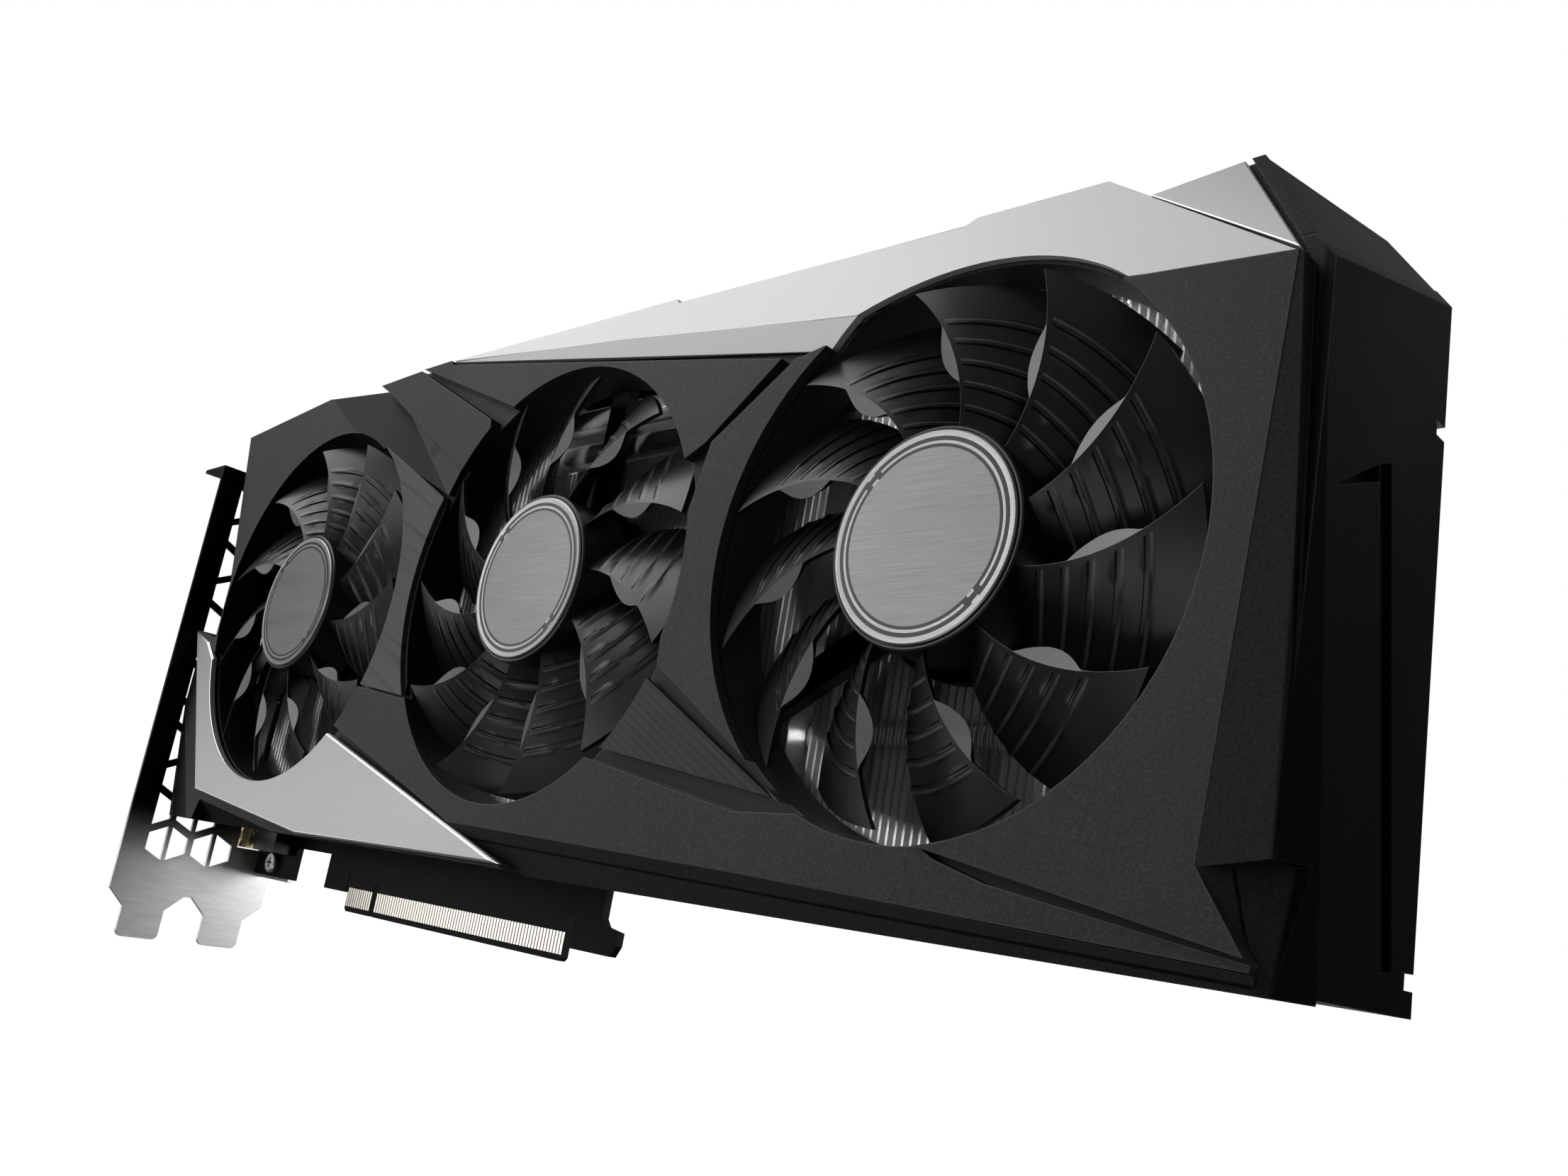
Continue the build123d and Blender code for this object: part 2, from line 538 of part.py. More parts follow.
def fin_stack(start, end, low, high, back, notches):
    """Row of thin fins across the card, joined by folded rails at the top and bottom."""
    count = int((end - start) / FIN_PITCH) + 1
    length = (count - 1) * FIN_PITCH + FIN_THICK
    with BuildPart() as stack:
        with BuildSketch(layer(back, (start + end) / 2, (low + high) / 2)):
            with GridLocations(FIN_PITCH, 0, count, 1):
                Rectangle(FIN_THICK, high - low)
            with GridLocations(0, high - low - FIN_THICK, 1, 2):
                Rectangle(length, FIN_THICK)
        extrude(amount=back - FIN_FRONT)
        for notch in notches:
            add(notch, mode=Mode.SUBTRACT)
    return stack.part.solids().sort_by(SortBy.VOLUME)[-1]


upright_runs = [
    block([(x - PIPE_H / 2 - 0.2, low), (x + PIPE_H / 2 + 0.2, low), (x + PIPE_H / 2 + 0.2, high),
           (x - PIPE_H / 2 - 0.2, high)], PIPE_DEEP, FIN_BACK + 1)
    for x, low, high in ((-88, -2, 39.2), (-76, 5.5, 31.6))
]
pipe_window = block([(-21, 27.5), (58, 27.5), (58, 60), (-21, 60)], 10, 40)
window_rail = block([(-21.5, 27.1), (56, 27.1), (56, 27.5), (-21.5, 27.5)], FIN_FRONT, FIN_BACK)
save(fin_stack(-117, -53, -FIN_HALF, FIN_HALF, FIN_BACK, upright_runs + grown_pipes), "fin_stack_left")
with BuildPart() as middle_fins:
    add(fin_stack(-50, 56, -FIN_HALF, FIN_HALF, FIN_BACK, [pipe_window] + grown_pipes))
    add(window_rail)
save(middle_fins.part, "fin_stack_middle")
save(fin_stack(61, 121.9, -FIN_HALF, FIN_HALF, TAIL_FIN_BACK, grown_pipes), "fin_stack_right")

PLATE_HALF = 22.0
GPU_SCREW = 25.5
gpu_screws = [(GPU[0] + sx * GPU_SCREW, GPU[1] + sz * GPU_SCREW) for sx in (-1, 1) for sz in (-1, 1)]
with BuildPart() as cold_plate:
    with BuildSketch(layer(DIE_TOP, *GPU)):
        RectangleRounded(2 * PLATE_HALF, 2 * PLATE_HALF, 2)
    extrude(amount=DIE_TOP - PLATE_FRONT)
save(cold_plate.part, "cold_plate")

with BuildPart() as memory_plate:
    add(block([(-80, -37), (4, -37), (4, 33), (-80, 33)], PLATE_FRONT, PLATE_FRONT + 2))
    with BuildSketch(layer(30, *GPU)):
        Rectangle(2 * PLATE_HALF + 0.8, 2 * PLATE_HALF + 0.8)
    extrude(amount=10, mode=Mode.SUBTRACT)
    for x, z in gpu_screws:
        add(disc(x, z, SCREW_HOLE, 20, 30), mode=Mode.SUBTRACT)
save(memory_plate.part, "memory_plate")

MEMORY = [(-68.5, -22, 14, 12), (-68.5, -5, 14, 12), (-7.5, -22, 14, 12), (-7.5, -5, 14, 12),
          (-52, 24, 14, 12), (-24, 24, 14, 12)]
BOARD_DEPTH = BOARD_FRONT - RING_Y


def on_board(x, z, width, height, tall):
    """Rounded block standing on the board's front."""
    with BuildPart() as solid:
        with BuildSketch(layer(BOARD_DEPTH, x, z)):
            RectangleRounded(width, height, 0.4)
        extrude(amount=tall)
        chamfer(solid.edges().group_by(Axis.Y)[0], 0.2)
    return solid.part


group([on_board(x, z, w, h, 1.2) for x, z, w, h in MEMORY], "memory_chips")
group([block([(x - w / 2 + 1, z - h / 2 + 1), (x + w / 2 - 1, z - h / 2 + 1), (x + w / 2 - 1, z + h / 2 - 1),
              (x - w / 2 + 1, z + h / 2 - 1)], PLATE_FRONT + 2, BOARD_DEPTH - 1.2)
       for x, z, w, h in MEMORY], "thermal_pads")
save(on_board(*GPU, 37.5, 37.5, BOARD_DEPTH - DIE_TOP - 0.8), "gpu_substrate")
save(block([(GPU[0] - 12, GPU[1] - 11), (GPU[0] + 12, GPU[1] - 11), (GPU[0] + 12, GPU[1] + 11),
            (GPU[0] - 12, GPU[1] + 11)], DIE_TOP, DIE_TOP + 0.8), "gpu_die")
group([on_board(16, z, 7, 7, 4.0) for z in range(-38, 26, 9)], "chokes")
group([on_board(25, z, 5, 6, 0.9) for z in range(-38, 26, 9)], "mosfets")
capacitors = []
for z in range(-38, 26, 9):
    with BuildPart() as capacitor:
        add(disc(34, z, 3.1, BOARD_DEPTH - 5, BOARD_DEPTH))
        chamfer(capacitor.edges().group_by(Axis.Y)[0], 0.4)
    capacitors.append(capacitor.part)
group(capacitors, "capacitors")

# ---------------------------------------------------------------- circuit board
FINGER_START = -12.2
FINGER_END = 72.1
SLIT = 1.5
SLIT_TOP = 8.5
TAB_Z = 4.2
BOARD_LOW = 15.3
BRACKET_SCREW_X = -52.0
bracket_screws = [(BRACKET_SCREW_X, 7.6), (BRACKET_SCREW_X, 98.0)]
BOARD_EDGE = [
    (BRACKET_IN + 0.6, TAB_Z), (-41.4, TAB_Z), (-41.4, 12.2), (-24.1, 12.2), (-24.1, TAB_Z),
    (FINGER_START - SLIT, TAB_Z), (FINGER_START - SLIT, SLIT_TOP), (FINGER_START, SLIT_TOP),
    (FINGER_START, 0.7), (FINGER_START + 0.7, 0), (-0.95, 0), (-0.95, 7.0), (0.95, 7.0), (0.95, 0),
    (FINGER_END - 0.7, 0), (FINGER_END, 0.7), (FINGER_END, SLIT_TOP), (FINGER_END + SLIT, SLIT_TOP),
    (FINGER_END + SLIT, 2.7), (86.0, 2.7), (87.25, 4.8), (87.25, 7.2), (83.2, 7.8), (81.95, 9.2),
    (81.95, BOARD_LOW), (BOARD_RIGHT, BOARD_LOW), (BOARD_RIGHT, BOARD_TOP), (BRACKET_IN + 0.6, BOARD_TOP),
]
with BuildPart() as pcb:
    extrude(outline(BOARD_EDGE, wall_plane(BOARD_BACK)), amount=BOARD_THICK)
    for x, z in gpu_screws:
        add(disc(x, z, 1.7, 25, 40), mode=Mode.SUBTRACT)
    for x, z, end in plate_places:
        if end < BACK_INNER:
            add(disc(x, z, 1.7, 25, 40), mode=Mode.SUBTRACT)
    for x, z in bracket_screws:
        add(disc(x - MID_X, z - FAN_Z, 1.6, 25, 40), mode=Mode.SUBTRACT)
save(pcb.part, "pcb")

PAD = (0.7, 4.2)
PAD_THICK = 0.05
contacts = []
for face_y in (BOARD_FRONT - PAD_THICK, BOARD_BACK):
    for first, count in ((-11.5, 11), (1.5, 71)):
        for k in range(count):
            x = first + k
            low = (x - PAD[0] / 2, face_y, 1.2)
            contacts.append(cuboid(low, (x + PAD[0] / 2, face_y + PAD_THICK, 1.2 + PAD[1])))
group(contacts, "edge_contacts")

group([cuboid((x, -5.8, z), (x + 9.0, BOARD_FRONT, z + 4.2)) for x, z in ((122, 88), (121, 27), (-40, 99))],
      "fan_headers")

# ---------------------------------------------------------------- power sockets
SOCKET_PITCH = 4.2
SOCKET_FRONT = 20.8
SOCKET_TOP = 46.5
SOCKET_LOW = 33.0
pins = []


def power_socket(first_x, columns):
    """Two-row power header with square pockets that open upwards."""
    width = columns * SOCKET_PITCH + 1.6
    middle_y = RING_Y + (SOCKET_FRONT + BOARD_DEPTH) / 2
    top_z = FAN_Z + SOCKET_TOP
    with BuildPart() as socket:
        add(block([(first_x, SOCKET_LOW), (first_x + width, SOCKET_LOW), (first_x + width, SOCKET_TOP),
                   (first_x, SOCKET_TOP)], SOCKET_FRONT, BOARD_DEPTH))
        centre = first_x + width / 2
        latch = [(centre - 2, 38), (centre + 2, 38), (centre + 2, SOCKET_TOP), (centre - 2, SOCKET_TOP - 3)]
        add(block(latch, SOCKET_FRONT - 1.4, SOCKET_FRONT))
        with BuildSketch(Plane.XY.move(Location((MID_X + centre, middle_y, top_z - 10)))):
            with GridLocations(SOCKET_PITCH, SOCKET_PITCH, columns, 2):
                Rectangle(3.5, 3.5)
        extrude(amount=11, mode=Mode.SUBTRACT)
    for k in range(columns):
        for side in (-1, 1):
            x = MID_X + centre + (k - (columns - 1) / 2) * SOCKET_PITCH
            y = middle_y + side * SOCKET_PITCH / 2
            pins.append(cuboid((x - 0.6, y - 0.6, top_z - 10), (x + 0.6, y + 0.6, top_z - 3)))
    return socket.part


save(power_socket(23.6, 4), "power_socket_8pin")
save(power_socket(43.2, 3), "power_socket_6pin")
group(pins, "power_pins")

# ---------------------------------------------------------------- bracket and video ports
PORT_PITCH = 21.7
PORT_FIRST_Z = 18.3
PORT_BACK_X = -43.5
BRACKET_OUT = BRACKET_IN - BRACKET_THICK
PORTS = [("display", 16.4, 5.4), ("display", 16.4, 5.4), ("hdmi", 15.2, 5.8), ("hdmi", 15.2, 5.8)]
HEX_PITCH_Y = 11.4
HEX_PITCH_Z = 8.0
HEX_HALF = 5.0
HEX_SIDE = 2.0
HEX_PEAK = 4.5
TAB_CENTRES = [(BRACKET_FRONT + BRACKET_BACK) / 2 + side * TAB_PITCH / 2 for side in (-1, 1)]


def hexagon_vent(y, z, keep_low, keep_high):
    """Pointed-top cell split by an upright bar, clipped to a band of the bracket."""
    with BuildPart() as vent:
        extrude(outline([(y - HEX_HALF, z - HEX_SIDE), (y, z - HEX_PEAK), (y + HEX_HALF, z - HEX_SIDE),
                         (y + HEX_HALF, z + HEX_SIDE), (y, z + HEX_PEAK), (y - HEX_HALF, z + HEX_SIDE)],
                        upright(BRACKET_OUT - 1)), amount=3)
        add(cuboid((BRACKET_OUT - 2, y - 0.5, z - 6), (BRACKET_IN + 3, y + 0.5, z + 6)), mode=Mode.SUBTRACT)
        band = cuboid((BRACKET_OUT - 2, keep_low, z - 6), (BRACKET_IN + 3, keep_high, z + 6))
        add(band, mode=Mode.INTERSECT)
    return vent.part


low_left, low_right = (TAB_CENTRES[0] - TAB_WIDTH / 2, TAB_CENTRES[0] + TAB_WIDTH / 2)
high_left, high_right = (TAB_CENTRES[1] - TAB_WIDTH / 2, TAB_CENTRES[1] + TAB_WIDTH / 2)
BRACKET_EDGE = [
    (BRACKET_FRONT, BRACKET_TOP), (BRACKET_FRONT, SHOULDER_TOP),
    (low_left, SHOULDER_LOW), (low_left, TAB_BOTTOM), (low_right, TAB_BOTTOM), (low_right, SHOULDER_LOW),
    (low_right + 4.1, SHOULDER_TOP), (high_left - 4.1, SHOULDER_TOP),
    (high_left, SHOULDER_LOW), (high_left, TAB_BOTTOM), (high_right, TAB_BOTTOM), (high_right, SHOULDER_LOW),
    (BRACKET_BACK, SHOULDER_TOP), (BRACKET_BACK, BRACKET_TOP),
]
with BuildPart() as bracket:
    extrude(outline(BRACKET_EDGE, upright(BRACKET_OUT)), amount=BRACKET_THICK)
    corners = bracket.edges().filter_by(Axis.X).filter_by(lambda edge: edge.center().Z < TAB_BOTTOM + 0.1)
    fillet(corners, 1.5)
    add(cuboid((BRACKET_OUT - 11, BRACKET_FRONT, BRACKET_TOP - BRACKET_THICK),
               (BRACKET_IN, BRACKET_BACK, BRACKET_TOP)))
    for centre in TAB_CENTRES:
        add(cuboid((BRACKET_OUT - 12, centre - 2.2, BRACKET_TOP - 2), (BRACKET_OUT - 5.5, centre + 2.2, 110)),
            mode=Mode.SUBTRACT)
    for x, z in bracket_screws:
        add(cuboid((BRACKET_IN - 0.2, BOARD_BACK, z - 4.2), (-46, BOARD_BACK + BRACKET_THICK, z + 4.4)))
        add(disc(x - MID_X, z - FAN_Z, SCREW_HOLE, 25, 40), mode=Mode.SUBTRACT)
    for row in range(12):
        first_y = -24.5 - (HEX_PITCH_Y / 2 if row % 2 else 0)
        clip_high = -8.0 if row == 0 else -12.2
        for column in range(2):
            vent = hexagon_vent(first_y + column * HEX_PITCH_Y, 7.9 + row * HEX_PITCH_Z, -29.4, clip_high)
            add(vent, mode=Mode.SUBTRACT)
    for k, (_, width, height) in enumerate(PORTS):
        z = PORT_FIRST_Z + k * PORT_PITCH
        add(cuboid((BRACKET_OUT - 1, BOARD_FRONT - height - 0.5, z - width / 2 - 0.3),
                   (BRACKET_IN + 1, BOARD_FRONT + 0.3, z + width / 2 + 0.3)), mode=Mode.SUBTRACT)
save(bracket.part, "bracket")

ports = {"display": [], "hdmi": []}
for k, (kind, width, height) in enumerate(PORTS):
    z = PORT_FIRST_Z + k * PORT_PITCH
    with BuildPart() as port:
        add(cuboid((BRACKET_OUT - 0.4, BOARD_FRONT - height, z - width / 2),
                   (PORT_BACK_X, BOARD_FRONT, z + width / 2)))
        add(cuboid((BRACKET_OUT - 1, BOARD_FRONT - height + 0.5, z - width / 2 + 0.5),
                   (BRACKET_OUT + 12, BOARD_FRONT - 0.5, z + width / 2 - 0.5)), mode=Mode.SUBTRACT)
        add(cuboid((BRACKET_OUT + 1.5, BOARD_FRONT - height / 2 - 0.9, z - width / 2 + 2.5),
                   (BRACKET_OUT + 12.5, BOARD_FRONT - height / 2 + 0.7, z + width / 2 - 2.5)))
    ports[kind].append(port.part)
group(ports["display"], "display_ports")
group(ports["hdmi"], "hdmi_ports")
group([screw(x - MID_X, z - FAN_Z, BOARD_DEPTH, 3.6, -1, head_r=2.5, head_h=1.5) for x, z in bracket_screws],
      "bracket_screws")

# ---------------------------------------------------------------- backplate and its fasteners
PLATE_LEFT = -140.0
PLATE_RIGHT = 138.8
BACK_EDGE = [
    (PLATE_LEFT, -50.6), (PLATE_RIGHT, -50.6), (PLATE_RIGHT, 38), (130.5, 51.2), (PLATE_LEFT, 51.2),
]
with BuildPart() as backplate:
    extrude(outline(BACK_EDGE, layer(BACK_OUTER)), amount=BACK_OUTER - BACK_INNER)
    with BuildSketch(layer(BACK_OUTER, 94, -1)):
        with GridLocations(10.5, 0, 6, 1):
            SlotOverall(76, 7.5, rotation=90)
    extrude(amount=4, mode=Mode.SUBTRACT)
    for x, z, end in plate_places:
        if end < BACK_INNER:
            add(disc(x, z, 2.6, BOARD_DEPTH + BOARD_THICK, BACK_INNER))
        add(disc(x, z, 2.9, BACK_OUTER - 0.8, BACK_OUTER + 1), mode=Mode.SUBTRACT)
        add(disc(x, z, SCREW_HOLE, 25, 40), mode=Mode.SUBTRACT)
save(backplate.part, "backplate")
group([screw(x, z, BACK_OUTER - 0.8, 10, 1, head_r=2.7, head_h=0.8) for x, z, _ in plate_places],
      "backplate_screws")

CROSS_FRONT = BOARD_DEPTH + BOARD_THICK + 1.0
with BuildPart() as retention:
    with BuildSketch(layer(CROSS_FRONT + 1.0, *GPU)):
        with PolarLocations(0, 2, start_angle=45, angular_range=180):
            Rectangle(2 * GPU_SCREW * 1.4142, 7)
        with GridLocations(2 * GPU_SCREW, 2 * GPU_SCREW, 2, 2):
            Circle(4.4)
        Rectangle(24, 24, mode=Mode.ADD)
        Rectangle(13, 13, mode=Mode.SUBTRACT)
        with GridLocations(2 * GPU_SCREW, 2 * GPU_SCREW, 2, 2):
            Circle(SCREW_HOLE, mode=Mode.SUBTRACT)
    extrude(amount=1.0)
save(retention.part, "retention_cross")
group([screw(x, z, CROSS_FRONT + 1.0, 8.6, 1) for x, z in gpu_screws], "spring_screws")
group([screw(x, z, FRAME_BACK - 1.3, 3.2, 1, head_r=2.6, shank_r=1.15, head_h=1.2) for x, z in boss_places],
      "fan_screws")
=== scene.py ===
"""Looks of the triple-fan graphics card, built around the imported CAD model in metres."""

import json
import math

import bmesh
import bpy
from mathutils import Matrix, Vector


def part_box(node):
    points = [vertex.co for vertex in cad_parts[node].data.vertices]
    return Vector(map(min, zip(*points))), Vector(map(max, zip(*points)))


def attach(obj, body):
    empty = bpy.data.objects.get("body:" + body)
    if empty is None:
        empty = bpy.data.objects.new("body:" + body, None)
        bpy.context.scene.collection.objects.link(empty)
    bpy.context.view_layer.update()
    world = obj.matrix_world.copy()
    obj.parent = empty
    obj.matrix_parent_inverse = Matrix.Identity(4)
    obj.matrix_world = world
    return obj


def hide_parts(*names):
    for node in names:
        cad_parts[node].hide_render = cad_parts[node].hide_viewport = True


MM = 0.001                  # fan shapes are drawn in mm, the frame is in metres
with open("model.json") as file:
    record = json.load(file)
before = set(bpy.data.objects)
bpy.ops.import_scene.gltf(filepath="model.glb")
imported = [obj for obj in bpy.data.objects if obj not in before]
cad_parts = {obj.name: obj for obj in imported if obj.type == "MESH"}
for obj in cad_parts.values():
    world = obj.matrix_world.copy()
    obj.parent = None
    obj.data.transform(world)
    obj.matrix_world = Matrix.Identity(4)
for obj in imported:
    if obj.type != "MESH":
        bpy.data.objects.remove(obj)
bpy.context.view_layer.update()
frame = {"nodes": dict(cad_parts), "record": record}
NODES = frame["nodes"]
FANS = ("left", "middle", "right")

# ---------------------------------------------------------------- camera
CAMERA_AT = Vector((0.2812, -0.1627, 0.0128))
CAMERA_RIGHT = Vector((0.71106, 0.68330, 0.16580))
CAMERA_UP = Vector((0.04050, -0.27522, 0.96053))
CAMERA_LENS = 30.78
CAMERA_SHIFT = (0.00707, 0.01775)


def add_camera():
    """Low three-quarter view from the tail end, looking up along the card."""
    data = bpy.data.cameras.new("camera")
    camera = bpy.data.objects.new("camera", data)
    bpy.context.scene.collection.objects.link(camera)
    data.sensor_width = 36.0
    data.lens = CAMERA_LENS
    data.shift_x, data.shift_y = CAMERA_SHIFT
    data.clip_start = 0.01
    back = CAMERA_RIGHT.cross(CAMERA_UP).normalized()
    up = back.cross(CAMERA_RIGHT).normalized()
    axes = Matrix((CAMERA_RIGHT.normalized(), up, back)).transposed()
    camera.matrix_world = Matrix.Translation(CAMERA_AT) @ axes.to_4x4()
    bpy.context.scene.camera = camera


# ---------------------------------------------------------------- node helpers
BAND_PERIOD = math.pi / 10  # width of one band of the wave texture at scale 1
BEVEL_SAMPLES = 4
EDGE_DOT = 0.985            # rounded normal times true normal: up to here it is all edge
FLAT_DOT = 0.9992           # and from here on it is a flat face


class Look:
    """A procedural material under construction: its node tree, shader and object coordinates."""

    def __init__(self, name):
        self.material = bpy.data.materials.new(name)
        self.material.use_nodes = True
        self.tree = self.material.node_tree
        self.shader = next(n for n in self.tree.nodes if n.type == "BSDF_PRINCIPLED")
        self.place = self.tree.nodes.new("ShaderNodeTexCoord").outputs["Object"]

    def node(self, kind, **settings):
        made = self.tree.nodes.new(kind)
        for key, value in settings.items():
            setattr(made, key, value)
        return made

    def link(self, out, into):
        self.tree.links.new(out, into)

    def put(self, **values):
        """Constant values straight on the shader's own sockets."""
        for key, value in values.items():
            self.shader.inputs[key.replace("_", " ")].default_value = value

    def stretched(self, scale, turn=(0.0, 0.0, 0.0)):
        """Object coordinates turned, then scaled: a larger scale packs the pattern tighter."""
        turned = self.node("ShaderNodeMapping")
        turned.inputs["Rotation"].default_value = turn
        self.link(self.place, turned.inputs["Vector"])
        sized = self.node("ShaderNodeMapping")
        sized.inputs["Scale"].default_value = scale
        self.link(turned.outputs["Vector"], sized.inputs["Vector"])
        return sized.outputs["Vector"]

    def noise(self, vector, detail=3.0, roughness=0.55):
        """Cloudy 0-1 pattern; the vector sets how tightly it is packed."""
        made = self.node("ShaderNodeTexNoise")
        made.inputs["Scale"].default_value = 1.0
        made.inputs["Detail"].default_value = detail
        made.inputs["Roughness"].default_value = roughness
        self.link(vector, made.inputs["Vector"])
        return made.outputs["Fac"]

    def waves(self, vector, pitch):
        """Parallel bands across the third coordinate."""
        made = self.node("ShaderNodeTexWave", bands_direction="Z")
        made.inputs["Scale"].default_value = BAND_PERIOD / pitch
        self.link(vector, made.inputs["Vector"])
        return made.outputs["Fac"]

    def ramp(self, factor, *stops):
        """Colour of a pattern, from (position, colour) stops."""
        made = self.node("ShaderNodeValToRGB")
        band = made.color_ramp
        while len(band.elements) < len(stops):
            band.elements.new(0.5)
        for element, (position, colour) in zip(band.elements, stops):
            element.position = position
            element.color = (*colour, 1.0)
        self.link(factor, made.inputs["Fac"])
        return made.outputs["Color"]

    def spread(self, factor, low, high):
        """Maps a 0-1 pattern to the range low-high."""
        return self.gate(factor, 0.0, 1.0, low, high)

    def bump(self, height, depth, strength, normal=None):
        """Lets a pattern raise the surface by a depth, over another normal if one is given."""
        made = self.node("ShaderNodeBump")
        made.inputs["Strength"].default_value = strength
        made.inputs["Distance"].default_value = depth
        self.link(height, made.inputs["Height"])
        if normal is not None:
            self.link(normal, made.inputs["Normal"])
        self.link(made.outputs["Normal"], self.shader.inputs["Normal"])

    def rounded(self, radius):
        """Normal the surface would have with its edges rounded."""
        made = self.node("ShaderNodeBevel", samples=BEVEL_SAMPLES)
        made.inputs["Radius"].default_value = radius
        return made.outputs["Normal"]

    def part_of(self, vector, letter):
        """The X, Y or Z of a vector."""
        parts = self.node("ShaderNodeSeparateXYZ")
        self.link(vector, parts.inputs["Vector"])
        return parts.outputs[letter]

    def axis(self, letter):
        """One of the object coordinates."""
        return self.part_of(self.place, letter)

    def facing(self, letter):
        """X, Y or Z of the direction that a face looks in."""
        geometry = self.node("ShaderNodeNewGeometry")
        return self.part_of(geometry.outputs["True Normal"], letter)

    def gate(self, value, start, end, low=0.0, high=1.0, smooth=False):
        """Rises from low to high as the value goes from start to end."""
        made = self.node("ShaderNodeMapRange")
        if smooth:
            made.interpolation_type = "SMOOTHSTEP"
        for socket, number in zip(("From Min", "From Max", "To Min", "To Max"), (start, end, low, high)):
            made.inputs[socket].default_value = number
        self.link(value, made.inputs["Value"])
        return made.outputs["Result"]

    def blend(self, factor, first, second):
        """Colour that goes from first to second; either may be an output or a plain colour."""
        made = self.node("ShaderNodeMix", data_type="RGBA")
        self.link(factor, made.inputs["Factor"])
        for socket, value in (("A", first), ("B", second)):
            if isinstance(value, tuple):
                made.inputs[socket].default_value = (*value, 1.0)
            else:
                self.link(value, made.inputs[socket])
        return made.outputs["Result"]

    def calc(self, operation, *values):
        """One step of arithmetic on outputs or plain numbers."""
        made = self.node("ShaderNodeMath", operation=operation)
        for socket, value in zip(made.inputs, values):
            if isinstance(value, float):
                socket.default_value = value
            else:
                self.link(value, socket)
        return made.outputs["Value"]

    def edges(self, radius):
        """1 on the edges of the shape, 0 on its flat faces."""
        true = self.node("ShaderNodeNewGeometry")
        dot = self.node("ShaderNodeVectorMath", operation="DOT_PRODUCT")
        self.link(self.rounded(radius), dot.inputs[0])
        self.link(true.outputs["True Normal"], dot.inputs[1])
        return self.gate(dot.outputs["Value"], EDGE_DOT, FLAT_DOT, 1.0, 0.0)

    def colour(self, out):
        self.link(out, self.shader.inputs["Base Color"])

    def rough(self, out):
        self.link(out, self.shader.inputs["Roughness"])


def grey(value, tint=0.0):
    """Grey with a slight cool tint."""
    return (value * (1 - tint), value, value * (1 + tint))


# ---------------------------------------------------------------- materials
END_FACE_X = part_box("shroud")[1].x
END_FACE_SKIN = (0.0016, 0.0012)        # the end face's painted shade fades in over these distances from it
RING_PLANE_Y = -0.0314
GROOVE_FLOOR_Y = RING_PLANE_Y + 0.0018
GROOVE_MARGIN = (0.00006, 0.00025)      # the groove's painted shadow fades out over these distances from its floor
TILTED_Y = (-0.992, -0.986)             # Y of the normal where a face stops counting as flat front
CHANNEL_TO_RECESS_X = (0.050, 0.068)    # channel painted black as shade on the bracket's side, lighter recess on the tail's
CHANNEL_SHADE_BLACK = (0.003,) * 3
END_SMOOTH_SHADE_BLACK = (0.0016, 0.0016, 0.0018)
GROOVE_SHADOW_BLACK = (0.0015,) * 3
EDGE_HIGHLIGHT_GREY = (0.11, 0.11, 0.112)
UPWARD_Z = (0.28, 0.34)                 # Z of the normal where a trim's edge starts to look up
SHADED_BLACK = (0.004,) * 3
BRACKET_FADE_Z = (0.003, 0.017)         # nickel below, black above
BRACKET_BLACK = (0.008, 0.008, 0.009)
PORT_BACK_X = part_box("display_ports")[1].x
GOLD_TOP_Z = (0.0155, 0.0165)           # the gold corner ends between these heights
GOLD_REACH = (0.011, 0.0105)            # and between these distances from the back of the ports
PORT_SHADE_BLACK = (0.02, 0.02, 0.021)
GOLD_GAP = (0.05, 0.035, 0.02)


def moulded_plastic(name, low, high, roughness, grain=0.00042, depth=0.00006, edge=0.0):
    """Black plastic with a spark-eroded sand grain."""
    look = Look(name)
    fine = look.noise(look.stretched((1 / grain,) * 3), detail=2.0, roughness=0.6)
    look.colour(look.ramp(fine, (0.32, grey(low)), (0.72, grey(high))))
    look.rough(look.spread(fine, roughness - 0.06, roughness + 0.08))
    look.bump(fine, depth, 0.55, look.rounded(edge) if edge else None)
    return look.material


def shroud_plastic():
    """Sand-grained flat front; tilted facets, the grooves' floors and the end face are painted darker as
    shade, and edges are painted lighter as a highlight.
    """
    look = Look("shroud_grain")
    fine = look.noise(look.stretched((2400.0,) * 3), detail=2.5, roughness=0.65)
    cloudy = look.noise(look.stretched((26.0,) * 3), detail=2.0)
    grained = look.ramp(fine, (0.30, grey(0.011)), (0.55, grey(0.024)), (0.78, grey(0.050)))
    recessed = look.ramp(fine, (0.3, grey(0.024)), (0.7, grey(0.044)))
    tail_side = look.gate(look.axis("X"), *CHANNEL_TO_RECESS_X)
    tilted = look.gate(look.facing("Y"), *TILTED_Y)
    # tilted faces on the bracket's side are painted black: the shade in the channel
    front = look.blend(tilted, grained, look.blend(tail_side, CHANNEL_SHADE_BLACK, recessed))
    # the smooth end face, without grain, is painted darker as shade
    end = look.gate(look.axis("X"), *(END_FACE_X - skin for skin in END_FACE_SKIN))
    ended = look.blend(end, front, END_SMOOTH_SHADE_BLACK)
    # faces at the depth of the grooves' floors are painted black as shadow
    off_floor = look.calc("ABSOLUTE", look.calc("SUBTRACT", look.axis("Y"), GROOVE_FLOOR_Y))
    grooved = look.blend(look.gate(off_floor, *GROOVE_MARGIN), GROOVE_SHADOW_BLACK, ended)
    # edges are painted lighter as a highlight, most on the flat front
    painted_edge_light = look.calc("MULTIPLY", look.edges(0.0003), look.spread(tilted, 0.8, 0.3))
    look.colour(look.blend(painted_edge_light, grooved, EDGE_HIGHLIGHT_GREY))
    look.rough(look.spread(cloudy, 0.52, 0.68))
    look.bump(fine, 0.00009, 0.6, look.rounded(0.00025))
    # the faces painted as shade also reflect less
    dull = look.calc("MAXIMUM", tilted, end)
    look.link(look.spread(dull, 0.32, 0.12), look.shader.inputs["Specular IOR Level"])
    return look.material


